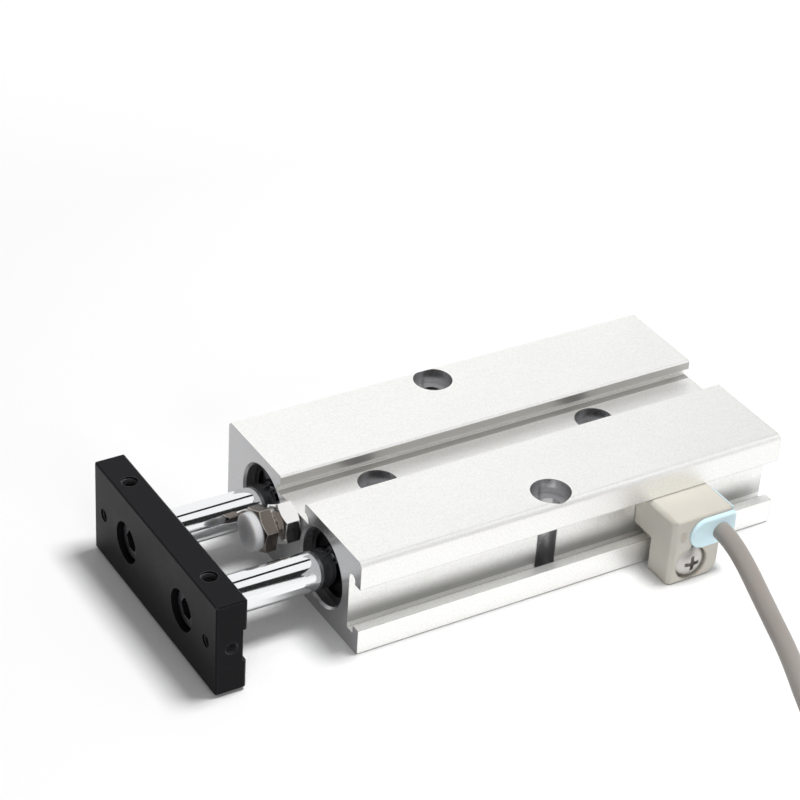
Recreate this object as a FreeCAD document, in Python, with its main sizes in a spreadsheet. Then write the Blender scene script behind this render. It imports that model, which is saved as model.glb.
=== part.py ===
"""Guided pneumatic cylinder with two rods, a stop bolt and a clamp-on position sensor.

The body is one aluminium extrusion with two bores side by side.  In each bore runs a piston
on its own rod, and an end plate joins the two rods, so that the plate cannot turn.

Frame: millimetres, +Z up, the body rests on Z = 0.  The origin lies on the mounting face, at the
centre of the four mounting holes.  The rods leave the body towards -Y.  The rail slot for the
sensor is on the +X side.
"""
import FreeCAD, Part
import math
import os

import Sketcher
from FreeCAD import Placement, Rotation, Vector
from types import SimpleNamespace

doc = FreeCAD.newDocument("guided_cylinder")
sheet = doc.addObject("Spreadsheet::Sheet", "Sizes")

# ---------------------------------------------------------------------------------------------
# Driving sizes, in millimetres and degrees.
# ---------------------------------------------------------------------------------------------
SIZES = {
    # extruded body
    "body_height": 21.6,
    "side_wall": 2.8,             # between a bore and the floor of the slot beside it
    "body_edge": 0.35,            # small chamfer along the lower and inner edges of the extrusion
    "body_round": 1.2,            # radius of its upper outer edges
    "front_to_holes": 45.4,       # from the front face to the line of the slab holes
    "rod_pitch": 24.0,
    "bore_dia": 16.0,
    "bore_mouth": 0.5,            # chamfer at both mouths of each bore
    # channel along the top
    "channel_gap": 10.0,          # between the two lips
    "channel_lip": 2.1,           # height of the straight lip wall
    "channel_undercut": 1.5,      # how far, and how round, the channel widens under its lips
    "channel_depth": 4.0,
    # rail slot on the +X side
    "slot_depth": 4.2,
    "slot_lip": 2.0,              # thickness of the upper lip and of the lower rail
    "slot_floor": 3.9,            # height of the lower groove's floor
    "rail_top": 5.7,
    "lip_high": 6.1,              # from the top down to the underside of the slot's lip
    "slot_rise": 0.6,             # straight wall behind the upper lip, under its round groove
    # mounting holes
    "slab_hole_wall": 0.25,       # between a bore and the mounting hole beside it
    "channel_hole_pitch": 52.0,
    "mount_dia": 4.5,
    "mount_head_dia": 8.2,
    "mount_head_depth": 3.3,
    # air ports on the -X side
    "port_dia": 5.0,
    "port_depth": 5.0,
    "port_gap": 0.3,              # between the rod cover's head and the air drilling
    "air_drill": 3.0,
    # retaining rings
    "ring_inset": 2.5,            # from each end face to the ring
    "ring_thick": 1.0,
    "ring_groove": 1.1,
    "ring_groove_dia": 16.8,
    "ring_wall": 1.5,
    "ring_lug": 3.8,              # how far the lugs reach in from the ring's outside
    "ring_gap_turn": 12.0,        # half of the ring's gap, in degrees
    "ring_lug_turn": 27.0,        # what a lug spans, in degrees
    "ring_lug_hole": 1.3,
    # rod covers and guide bushes
    "cover_play": 0.03,           # radial, cover in bore
    "cover_head": 8.4,
    "cover_length": 18.4,
    "cover_tail_dia": 13.6,
    "bush_dia": 10.0,
    "bush_inset": 4.6,            # from the cover's front face to the bush
    "rod_play": 0.02,             # radial, rod in bush
    "seal_dia": 12.0,
    "seal_thick": 2.6,
    "seal_inset": 1.0,
    "o_ring": 1.5,                # section of the cover seals
    "o_ring_inset": 5.2,
    "rear_cover_length": 7.4,
    "pull_thread": 4.0,           # pull-out hole in the rear cover
    "pull_depth": 5.0,
    "rod_clearance": 0.4,         # radial, rod in the cover's front wall and in the bumpers
    "o_ring_room": 0.4,           # groove width beyond the ring's section
    "bumper_thick": 1.5,
    "bumper_dia": 13.0,
    # pistons and rods
    "rod_dia": 8.0,
    "rod_tip_flats": 7.0,
    "rod_end_chamfer": 0.4,
    "spigot_dia": 6.0,
    "piston_play": 0.1,
    "piston_length": 23.0,
    "piston_nut_flats": 10.0,
    "piston_nut_thick": 5.0,
    "piston_pocket_dia": 12.2,
    "piston_pocket_depth": 6.5,
    "groove_depth": 1.3,
    "lip_seal_width": 2.4,
    "wear_ring_width": 3.2,
    "magnet_width": 3.6,
    "land": 1.0,                  # between neighbouring grooves of the piston
    "lip_play": 0.03,             # radial, piston seals in bore
    "wear_play": 0.04,
    "magnet_play": 0.25,
    "spigot_play": 0.02,
    "spigot_tail": 1.0,           # rod thread beyond the piston nut
    "rod_thread_spare": 1.0,
    "stroke": 40.0,               # from the rear bumper to the front one
    "extension": 13.6,            # of the pistons from the rear bumper, as drawn
    # end plate
    "plate_end_short": 0.5,       # how far the plate ends short of the body's sides
    "plate_low": 0.45,            # and of its bottom and top
    "plate_thick": 6.5,
    "plate_clearance": 10.0,      # from the body to the plate with the pistons fully back
    "plate_edge": 0.4,
    "plate_slot_height": 7.1,
    "plate_slot_depth": 0.9,
    "plate_head_dia": 8.8,
    "plate_head_depth": 4.2,
    "plate_front_inset": 4.3,     # from the plate's ends
    "plate_front_thread": 2.8,
    "plate_top_inset": 9.4,
    "plate_top_thread": 3.4,
    "plate_top_depth": 8.0,
    "plate_end_thread": 2.6,
    "plate_end_depth": 6.0,
    "screw_dia": 5.0,
    "screw_head_dia": 8.3,
    "screw_head_thick": 3.0,
    "screw_length": 12.0,
    "screw_socket": 4.0,
    "screw_socket_depth": 2.0,
    "thread_play": 0.03,          # radial, between a thread and its hole
    # stop bolt between the rods
    "stop_rise": 3.7,             # above the line of the bores
    "stop_dia": 5.0,
    "stop_hole_depth": 11.4,
    "stop_length": 14.4,
    "stop_head_flats": 8.5,
    "stop_head_turn": 21.0,       # how the tightened bolt happens to stand, in degrees
    "stop_head_thick": 2.8,
    "stop_head_out": 8.2,         # from the body to the front of the bolt's head
    "stop_nut_flats": 8.0,
    "stop_nut_turn": 33.0,
    "stop_nut_thick": 3.6,
    "stop_pad_dia": 7.8,
    "stop_pad_out": 1.8,          # cylindrical part of the pad
    "stop_pad_crown": 0.9,        # height of its dome
    "stop_pad_peg": 4.0,
    "stop_pad_peg_depth": 1.6,
    # position sensor
    "sensor_front": 66.8,         # from the body's front face to the sensor
    "sensor_length": 14.0,
    "sensor_play": 0.12,
    "sensor_out": 9.0,            # how far the housing stands out from the body's side
    "sensor_arm_gap": 2.0,        # above the rail
    "sensor_leg_gap": 2.0,        # between the rail and the clamping leg
    "sensor_leg_length": 11.7,
    "sensor_leg_bottom": 0.1,
    "sensor_leg_round": 3.4,      # of the leg's free lower corner
    "sensor_edge": 0.5,
    "sensor_front_edge": 0.8,
    "sensor_hook_inset": 2.5,
    "sensor_hook_down": 1.2,
    "sensor_hook_up": 0.6,
    "cavity_inset": 1.7,
    "cavity_length": 9.6,
    "cavity_wall": 1.4,           # below the cavity
    "cavity_cover": 1.7,          # above it
    "cavity_depth": 4.0,
    "board_thick": 0.8,
    "clamp_inset": 5.3,           # from the sensor's front end to the clamp screw
    "clamp_height": 4.2,
    "clamp_recess_play": 0.3,     # round the screw's head
    "clamp_recess_depth": 1.7,
    "clamp_notch": 1.4,
    "clamp_tip_gap": 0.05,
    "clamp_head_dia": 6.9,
    "clamp_head_thick": 2.2,
    "clamp_thread": 3.0,
    "clamp_cross": 0.9,
    "clamp_cross_depth": 1.3,
    "clamp_nut_flats": 5.0,
    "clamp_nut_thick": 1.8,
    "boot_inset": 4.2,            # from the sensor's front end to the cable boot
    "boot_length": 11.0,
    "boot_cover": 0.9,            # above the boot
    "boot_drop": 0.2,             # of the boot's bottom below the arm's
    "boot_depth": 5.0,
    "boot_out": 0.7,
    "boot_round": 3.4,
    "boot_far_round": 1.2,
    "boot_edge": 0.5,             # chamfer round the boot's face
    "boot_flange": 0.35,          # the boot's skin over the rear end of the housing
    "window_inset": 2.6,
    "window_wide": 1.1,
    "window_long": 2.0,
    "cable_dia": 4.0,
    # spare cable, wound and tied
    "coil_bore": 23.6,
    "coil_dia": 64.4,
    "coil_high": 12.2,
    "coil_step_wide": 4.0,        # the innermost column of turns is one turn high
    "coil_step_high": 4.2,
    "tie_thick": 0.8,
    "tie_wide": 5.0,
    "lead_dia": 1.3,
    "lead_length": 15.0,
    "lead_inset": 1.0,            # how far the leads start inside the coil's wall
    "lead_pitch": 1.6,
}

# The cable's way from the boot's face to its coil, and the middle of the coil.
CABLE_ROUTE = [
    (36.7, 32.7, 10.8),
    (45.5, 32.7, 10.8),
    (56.0, 28.8, 5.0),
    (66.0, 26.9, 2.05),
    (80.0, 20.4, 2.05),
    (94.0, 16.8, 2.05),
    (106.9, 14.0, 2.8),
]
COIL_CENTRE = (116.2, 42.5)
LEAD_START = 324                  # where the innermost turn ends on the coil, in degrees
LEAD_AIMS = (98, 112)             # directions of the two bare leads, in degrees
TOUCH = 1e-4                      # two places closer than this are the same
LEAST_CUT = 1e-6                  # a cut that takes less than this takes nothing
UPWARDS = 90                      # straight up, as an angle from the X axis
FRONT_RING_LEAN = 12              # how far each front ring's gap leans outwards, in degrees
HEXAGON_STEP = 60                 # from one corner of a hexagon to the next
ARC_SHARE = 0.45                  # how much of the shorter run an arc of the cable takes
BEVEL_SLOPE = math.tan(math.radians(60))    # hexagon corners are bevelled at 30 degrees


class Size:
    """A number that remembers the spreadsheet formula that gives it."""

    def __init__(self, value, formula):
        self.value = float(value)
        self.formula = formula

    def __add__(self, other):
        other = as_size(other)
        return Size(self.value + other.value, f"({self.formula} + {other.formula})")

    def __sub__(self, other):
        other = as_size(other)
        return Size(self.value - other.value, f"({self.formula} - {other.formula})")

    def __mul__(self, other):
        other = as_size(other)
        return Size(self.value * other.value, f"({self.formula} * {other.formula})")

    def __truediv__(self, other):
        other = as_size(other)
        return Size(self.value / other.value, f"({self.formula} / {other.formula})")

    def __neg__(self):
        return Size(-self.value, f"(0 - {self.formula})")

    __radd__ = __add__
    __rmul__ = __mul__

    def __rsub__(self, other):
        return as_size(other) - self


def as_size(number):
    """Turn a plain number into a Size, and leave a Size as it is."""
    if isinstance(number, Size):
        return number
    return Size(number, str(float(number)))


def fill_sheet():
    """Write the driving sizes into the sheet and return them under their own names."""
    named = {}
    for row, (alias, value) in enumerate(SIZES.items(), start=1):
        sheet.set(f"A{row}", alias.replace("_", " "))
        sheet.set(f"B{row}", str(value))
        sheet.setAlias(f"B{row}", alias)
        named[alias] = Size(value, f"Sizes.{alias}")
    doc.recompute()
    return SimpleNamespace(**named)


s = fill_sheet()
ZERO = as_size(0)


# ---------------------------------------------------------------------------------------------
# Places that several pieces share.
# ---------------------------------------------------------------------------------------------
FRONT = -s.front_to_holes                       # Y of the body's front face
MID_HEIGHT = s.body_height / 2
STOP_HEIGHT = MID_HEIGHT + s.stop_rise
SIDES = {"left": -1, "right": 1}
BORE_RADIUS = s.bore_dia / 2
# measured along a bore from the body's front face
COVER_START = s.ring_inset + s.ring_groove
TAIL_END = COVER_START + s.cover_length
FRONT_STOP = TAIL_END + s.bumper_thick
REAR_STOP = FRONT_STOP + s.piston_length + s.stroke
REAR_COVER_START = REAR_STOP + s.bumper_thick
REAR_RING = REAR_COVER_START + s.rear_cover_length
BODY_LENGTH = REAR_RING + s.ring_groove + s.ring_inset
PORT = COVER_START + s.cover_head + s.port_gap + s.air_drill / 2
PISTON_REAR = REAR_STOP - s.extension
PISTON_FRONT = PISTON_REAR - s.piston_length
PLATE_BACK = -(s.plate_clearance + s.extension)
PLATE_FRONT = PLATE_BACK - s.plate_thick
ROD_TIP = PLATE_BACK - s.plate_slot_depth
# across the body
BORE_EDGE = s.rod_pitch / 2 + BORE_RADIUS
SLAB_HOLE = BORE_EDGE + s.slab_hole_wall + s.mount_dia / 2
SLOT_WALL = BORE_EDGE + s.side_wall
SIDE = SLOT_WALL + s.slot_depth
LIP_BOTTOM = s.body_height - s.lip_high


# ---------------------------------------------------------------------------------------------
# Helpers.
# ---------------------------------------------------------------------------------------------
def bind(thing, **sizes):
    """Tie properties of a document object to the sheet; Base_x means Placement.Base.x."""
    for name, size in sizes.items():
        path = name.replace("Base_", "Placement.Base.")
        thing.setExpression(path, as_size(size).formula)


def place(thing, x=ZERO, y=ZERO, z=ZERO, turn=None):
    """Place a piece at sizes of the sheet, after an optional fixed turn."""
    thing.Placement = Placement(Vector(0, 0, 0), turn or Rotation())
    bind(thing, Base_x=x, Base_y=y, Base_z=z)


def new_body(label):
    """Start a piece that is made of sketches and features."""
    body = doc.addObject("PartDesign::Body", label)
    body.Label = label
    return body


def sketch_on(body, name, role, lift=ZERO):
    """Attach a new sketch to one of the body's own origin planes, raised along its normal."""
    sketch = body.newObject("Sketcher::SketchObject", name)
    plane = next(item for item in body.Origin.OriginFeatures if item.Role == role)
    sketch.AttachmentSupport = [(plane, "")]
    sketch.MapMode = "FlatFace"
    if lift is not ZERO:
        sketch.setExpression("AttachmentOffset.Base.z", lift.formula)
    return sketch


def pin_point(sketch, geometry, end, x, y):
    """Hold a sketch point at its distances from the sketch's origin."""
    for kind, size in (("DistanceX", x), ("DistanceY", y)):
        index = sketch.addConstraint(Sketcher.Constraint(kind, -1, 1, geometry, end, size.value))
        sketch.setExpression(f"Constraints[{index}]", size.formula)


def draw_outline(sketch, corners):
    """Draw a closed outline.

    A corner is (x, y), or (x, y, radius) where an arc runs on to the next corner: a positive
    radius turns counter-clockwise, a negative one clockwise.
    """
    corners = [tuple(as_size(number) for number in corner) for corner in corners]
    links = []
    for corner, following in zip(corners, corners[1:] + corners[:1]):
        start = Vector(corner[0].value, corner[1].value, 0)
        end = Vector(following[0].value, following[1].value, 0)
        if len(corner) == 2:
            links.append((sketch.addGeometry(Part.LineSegment(start, end)), 1, 2))
            continue
        radius = corner[2]
        swap = radius.value < 0
        first, last = (end, start) if swap else (start, end)
        chord = last - first
        rise = math.sqrt(max(radius.value ** 2 - chord.Length ** 2 / 4, 0))
        normal = Vector(-chord.y, chord.x, 0) / chord.Length
        centre = (first + last) / 2 + normal * rise
        begin = math.atan2(first.y - centre.y, first.x - centre.x)
        finish = math.atan2(last.y - centre.y, last.x - centre.x)
        circle = Part.Circle(centre, Vector(0, 0, 1), abs(radius.value))
        index = sketch.addGeometry(Part.ArcOfCircle(circle, begin, finish))
        limit = sketch.addConstraint(Sketcher.Constraint("Radius", index, abs(radius.value)))
        sketch.setExpression(f"Constraints[{limit}]", (-radius if swap else radius).formula)
        links.append((index, 2, 1) if swap else (index, 1, 2))
    for (index, start, end), (following, begin, _) in zip(links, links[1:] + links[:1]):
        sketch.addConstraint(Sketcher.Constraint("Coincident", index, end, following, begin))
    for (index, start, end), corner in zip(links, corners):
        pin_point(sketch, index, start, corner[0], corner[1])


def draw_circles(sketch, diameter, centres):
    """Draw equal circles at the given centres."""
    for x, y in centres:
        x, y = as_size(x), as_size(y)
        circle = Part.Circle(Vector(x.value, y.value, 0), Vector(0, 0, 1), diameter.value / 2)
        index = sketch.addGeometry(circle)
        pin_point(sketch, index, 3, x, y)
        limit = sketch.addConstraint(Sketcher.Constraint("Diameter", index, diameter.value))
        sketch.setExpression(f"Constraints[{limit}]", diameter.formula)


def pad(body, sketch, length, reverse=False, midplane=False):
    """Raise a sketch into the body."""
    feature = body.newObject("PartDesign::Pad", sketch.Name + "_pad")
    feature.Profile = sketch
    feature.Reversed = reverse
    if midplane:
        feature.SideType = "Symmetric"
    bind(feature, Length=length)
    doc.recompute()
    return feature


def pocket(body, sketch, depth=None, reverse=False):
    """Cut a sketch into the body, right through where no depth is given, and prove that it cuts."""
    before = body.Shape.Volume
    feature = body.newObject("PartDesign::Pocket", sketch.Name + "_pocket")
    feature.Profile = sketch
    feature.Reversed = reverse
    if depth is None:
        feature.Type = "ThroughAll"
    else:
        bind(feature, Length=depth)
    doc.recompute()
    if body.Shape.Volume >= before - LEAST_CUT:
        raise RuntimeError(f"{feature.Name} cuts nothing")
    return feature


def bevel_edges(body, name, edges, size):
    """Chamfer the named edges of the body's last feature."""
    base = body.Tip
    chamfer = body.newObject("PartDesign::Chamfer", name)
    chamfer.Base = (base, edges)
    bind(chamfer, Size=size)
    doc.recompute()


def bevel_round_face(body, name, axis, place_on_axis, size):
    """Chamfer every edge that lies in the plane at a place on an axis."""
    level = as_size(place_on_axis).value
    edges = []
    for number, edge in enumerate(body.Tip.Shape.Edges, start=1):
        box = edge.BoundBox
        ends = (getattr(box, axis.upper() + "Min"), getattr(box, axis.upper() + "Max"))
        if all(abs(end - level) < TOUCH for end in ends):
            edges.append(f"Edge{number}")
    bevel_edges(body, name, edges, size)


def hole(body, sketch, diameter, depth=None, head_dia=None, head_depth=None):
    """Drill a hole at every circle of the sketch, with a flat counterbore where one is given."""
    doc.recompute()
    before = body.Shape.Volume
    feature = body.newObject("PartDesign::Hole", sketch.Name + "_hole")
    feature.Profile = sketch
    feature.DepthType = "ThroughAll" if depth is None else "Dimension"
    feature.DrillPoint = "Flat"
    bind(feature, Diameter=diameter)
    if depth is not None:
        bind(feature, Depth=depth)
    if head_dia is not None:
        feature.HoleCutType = "Counterbore"
        feature.HoleCutCustomValues = True
        bind(feature, HoleCutDiameter=head_dia, HoleCutDepth=head_depth)
    doc.recompute()
    if body.Shape.Volume >= before - LEAST_CUT:
        raise RuntimeError(f"{feature.Name} cuts nothing")
    return feature


def turned(label, corners, x, z):
    """Turn a ring or shaft on an axis along Y; its corners are (radius, distance behind the front)."""
    body = new_body(label)
    profile = sketch_on(body, label + "_profile", "XY_Plane")
    draw_outline(profile, corners)
    turn = body.newObject("PartDesign::Revolution", label + "_turn")
    turn.Profile = profile
    turn.ReferenceAxis = (profile, ["V_Axis"])
    turn.Angle = 360
    place(body, x, FRONT, z)
    doc.recompute()
    return body


def ring_corners(inner, outer, start, end):
    """The four corners of a plain ring."""
    return [(inner, start), (outer, start), (outer, end), (inner, end)]


def solid(kind, name, **sizes):
    """Make a Part primitive or boolean with its sizes tied to the sheet."""
    thing = doc.addObject(kind, name)
    bind(thing, **sizes)
    return thing


def cut_away(label, base, tool):
    """Take one shape from another and give the result its label."""
    result = doc.addObject("Part::Cut", label)
    result.Base = base
    result.Tool = tool
    result.Label = label
    return result


def joined(label, *shapes):
    """Join shapes into one solid."""
    result = doc.addObject("Part::MultiFuse", label)
    result.Shapes = list(shapes)
    result.Refine = True
    result.Label = label
    return result


def hexagon(name, flats, height, both_ends=False):
    """A hexagon bar along +Z with its corners bevelled at the far end, or at both."""
    bar = solid("Part::Prism", name + "_bar", Circumradius=flats / math.sqrt(3), Height=height)
    bar.Polygon = 6
    wide, narrow = flats / 2 + height * BEVEL_SLOPE, flats / 2 - s.body_edge / 2
    cone = solid("Part::Cone", name + "_cone", Radius1=wide, Radius2=narrow, Height=height)
    bevelled = doc.addObject("Part::MultiCommon", name + "_bevelled")
    bevelled.Shapes = [bar, cone]
    if both_ends:
        other = solid("Part::Cone", name + "_other_cone", Radius1=narrow, Radius2=wide,
                      Height=height)
        bevelled.Shapes = [bar, cone, other]
    return bevelled


def polar(radius, angle):
    """A corner at a radius and an angle in degrees, as sketch coordinates."""
    angle = as_size(angle)
    turn = math.radians(angle.value)
    return (radius * Size(math.cos(turn), f"cos({angle.formula})"),
            radius * Size(math.sin(turn), f"sin({angle.formula})"))


def rounded_box(left, right, bottom, top, near, far):
    """Corners of a box with its left corners rounded by near and its right corners by far."""
    return [(left + near, bottom), (right - far, bottom, far), (right, bottom + far),
            (right, top - far, far), (right - far, top), (left + near, top, near),
            (left, top - near), (left, bottom + near, near)]


# ---------------------------------------------------------------------------------------------
# Body.
# ---------------------------------------------------------------------------------------------
def make_body_block():
    """The extrusion: two slabs with a channel between them, two bores and the sensor's rail slot."""
    body = new_body("body_block")
    side = SIDE
    top = s.body_height
    edge = s.body_edge
    bend = s.body_round
    lip = side - s.slot_lip
    half_gap = s.channel_gap / 2
    half_wide = half_gap + s.channel_undercut
    round_start = top - s.channel_lip - s.channel_undercut
    groove_round = (s.slot_depth - s.slot_lip) / 2
    groove_start = LIP_BOTTOM + s.slot_rise
    outline = sketch_on(body, "extrusion", "XZ_Plane")
    draw_outline(outline, [
        (edge - side, ZERO), (side - edge, ZERO), (side, edge), (side, s.rail_top),
        (lip, s.rail_top), (lip, s.slot_floor), (SLOT_WALL, s.slot_floor),
        (SLOT_WALL, groove_start, -groove_round),
        (SLOT_WALL + groove_round, groove_start + groove_round, -groove_round),
        (lip, groove_start), (lip, LIP_BOTTOM), (side, LIP_BOTTOM),
        (side, top - bend, bend), (side - bend, top), (half_gap + edge, top),
        (half_gap, top - edge),
        (half_gap, top - s.channel_lip, -s.channel_undercut), (half_wide, round_start),
        (half_wide, top - s.channel_depth), (-half_wide, top - s.channel_depth),
        (-half_wide, round_start, -s.channel_undercut), (-half_gap, top - s.channel_lip),
        (-half_gap, top - edge), (-half_gap - edge, top), (bend - side, top, bend),
        (-side, top - bend), (-side, edge),
    ])
    pad(body, outline, BODY_LENGTH, reverse=True)
    centres = [(s.rod_pitch / 2 * sign, MID_HEIGHT) for sign in SIDES.values()]

    bores = sketch_on(body, "bores", "XZ_Plane")
    draw_circles(bores, s.bore_dia, centres)
    pocket(body, bores)
    for end, start in (("front", s.ring_inset), ("rear", REAR_RING)):
        groove = sketch_on(body, end + "_ring_groove", "XZ_Plane", -start)
        draw_circles(groove, s.ring_groove_dia, centres)
        pocket(body, groove, s.ring_groove)

    slab_holes = sketch_on(body, "slab_holes", "XY_Plane", s.body_height)
    draw_circles(slab_holes, s.mount_dia,
                 [(SLAB_HOLE * sign, s.front_to_holes) for sign in (-1, 1)])
    hole(body, slab_holes, s.mount_dia, None, s.mount_head_dia, s.mount_head_depth)
    channel_holes = sketch_on(body, "channel_holes", "XY_Plane", s.body_height - s.channel_depth)
    draw_circles(channel_holes, s.mount_dia,
                 [(ZERO, s.front_to_holes + s.channel_hole_pitch / 2 * sign) for sign in (-1, 1)])
    hole(body, channel_holes, s.mount_dia, None, s.mount_head_dia, s.mount_head_depth)

    stop_hole = sketch_on(body, "stop_hole", "XZ_Plane")
    draw_circles(stop_hole, s.stop_dia + s.thread_play * 2, [(ZERO, STOP_HEIGHT)])
    pocket(body, stop_hole, s.stop_hole_depth)

    ports = [(PORT, MID_HEIGHT), (BODY_LENGTH - PORT, MID_HEIGHT)]
    port_threads = sketch_on(body, "port_threads", "YZ_Plane", -side)
    draw_circles(port_threads, s.port_dia, ports)
    pocket(body, port_threads, s.port_depth, reverse=True)
    air_drills = sketch_on(body, "air_drills", "YZ_Plane", -side)
    draw_circles(air_drills, s.air_drill, ports)
    pocket(body, air_drills, side + s.rod_pitch / 2, reverse=True)

    mouths = []
    for number, edge_shape in enumerate(body.Tip.Shape.Edges, start=1):
        curve = edge_shape.Curve
        if isinstance(curve, Part.Circle) and abs(curve.Radius - BORE_RADIUS.value) < TOUCH \
                and min(abs(curve.Center.y), abs(curve.Center.y - BODY_LENGTH.value)) < TOUCH:
            mouths.append(f"Edge{number}")
    bevel_edges(body, "bore_mouths", mouths, s.bore_mouth)
    place(body, ZERO, FRONT, ZERO)
    doc.recompute()
    return body


# ---------------------------------------------------------------------------------------------
# What each bore holds.  Distances run along the bore from the body's front face.
# ---------------------------------------------------------------------------------------------
def make_rod_cover(side, x):
    """Front cover with the rod seal, the guide bush and its own O-ring."""
    outer = BORE_RADIUS - s.cover_play
    rod_hole = s.rod_dia / 2 + s.rod_clearance
    seal_start = COVER_START + s.seal_inset
    seal_end = seal_start + s.seal_thick
    bush_start = COVER_START + s.bush_inset
    ring_start = COVER_START + s.o_ring_inset
    ring_end = ring_start + s.o_ring + s.o_ring_room
    ring_floor = BORE_RADIUS - s.o_ring
    head_end = COVER_START + s.cover_head
    turned(f"rod_cover_{side}", [
        (rod_hole, COVER_START), (outer, COVER_START), (outer, ring_start),
        (ring_floor, ring_start), (ring_floor, ring_end), (outer, ring_end), (outer, head_end),
        (s.cover_tail_dia / 2, head_end), (s.cover_tail_dia / 2, TAIL_END),
        (s.bush_dia / 2, TAIL_END), (s.bush_dia / 2, bush_start), (rod_hole, bush_start),
        (rod_hole, seal_end), (s.seal_dia / 2, seal_end), (s.seal_dia / 2, seal_start),
        (rod_hole, seal_start)], x, MID_HEIGHT)
    turned(f"guide_bush_{side}",
           ring_corners(s.rod_dia / 2 + s.rod_play, s.bush_dia / 2, bush_start, TAIL_END),
           x, MID_HEIGHT)
    inner = s.rod_dia / 2 + s.rod_play
    wall = (s.seal_dia / 2 - inner) / 3
    notch = seal_start + s.seal_thick / 2
    turned(f"rod_seal_{side}", [
        (inner, seal_start), (s.seal_dia / 2, seal_start), (s.seal_dia / 2, seal_end),
        (s.seal_dia / 2 - wall, seal_end), (inner + wall * 1.5, notch), (inner + wall, seal_end),
        (inner, seal_end)], x, MID_HEIGHT)
    make_o_ring(f"cover_o_ring_{side}", x, ring_start + s.o_ring_room / 2 + s.o_ring / 2)


def make_o_ring(label, x, along):
    """An O-ring between its groove's floor and the bore wall."""
    ring = solid("Part::Torus", label, Radius1=BORE_RADIUS - s.o_ring / 2,
                 Radius2=s.o_ring / 2 - s.cover_play)
    ring.Label = label
    place(ring, x, FRONT + along, MID_HEIGHT, Rotation(Vector(1, 0, 0), 90))


def make_retaining_ring(label, x, start, gap_turn):
    """Internal retaining ring with two pierced lugs at its gap."""
    body = new_body(label)
    outer = s.ring_groove_dia / 2 - s.cover_play
    inner = outer - s.ring_wall
    lug = outer - s.ring_lug
    gap = s.ring_gap_turn
    lug_end = gap + s.ring_lug_turn
    outer_step = (360 - gap * 2) / 4
    inner_step = (360 - lug_end * 2) / 4
    corners = [polar(outer, gap + outer_step * step) + (outer,) for step in range(4)]
    corners += [polar(outer, -gap), polar(lug, -gap) + (-lug,), polar(lug, -lug_end)]
    corners += [polar(inner, -lug_end - inner_step * step) + (-inner,) for step in range(4)]
    corners += [polar(inner, lug_end), polar(lug, lug_end) + (-lug,), polar(lug, gap)]
    profile = sketch_on(body, label + "_profile", "XZ_Plane")
    draw_outline(profile, corners)
    hole_radius = (lug + outer) / 2
    hole_turn = (gap + lug_end) / 2
    draw_circles(profile, s.ring_lug_hole,
                 [polar(hole_radius, hole_turn), polar(hole_radius, -hole_turn)])
    pad(body, profile, s.ring_thick, reverse=True)
    place(body, x, FRONT + start, MID_HEIGHT, Rotation(Vector(0, 1, 0), -gap_turn))


def make_rod(side, x):
    """Hard-chromed rod with a tapped front end, two seating flats and a spigot for the piston."""
    radius = s.rod_dia / 2
    thread = s.screw_dia / 2 + s.thread_play
    thread_end = PLATE_FRONT + s.plate_head_depth + s.screw_length + s.rod_thread_spare
    spigot = s.spigot_dia / 2
    spigot_end = (PISTON_REAR - s.piston_pocket_depth) + s.piston_nut_thick + s.spigot_tail
    body = turned(f"rod_{side}", [
        (thread, ROD_TIP), (radius, ROD_TIP), (radius, PISTON_FRONT), (spigot, PISTON_FRONT),
        (spigot, spigot_end - s.rod_end_chamfer), (spigot - s.rod_end_chamfer, spigot_end),
        (ZERO, spigot_end), (ZERO, thread_end), (thread, thread_end)], x, MID_HEIGHT)
    flats = sketch_on(body, f"rod_flats_{side}", "XZ_Plane", -ROD_TIP)
    low, high = s.rod_tip_flats / 2, s.rod_dia
    for near, far in ((low, high), (-high, -low)):
        draw_outline(flats, [(-high, near), (high, near), (high, far), (-high, far)])
    pocket(body, flats, s.plate_slot_depth)


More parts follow.
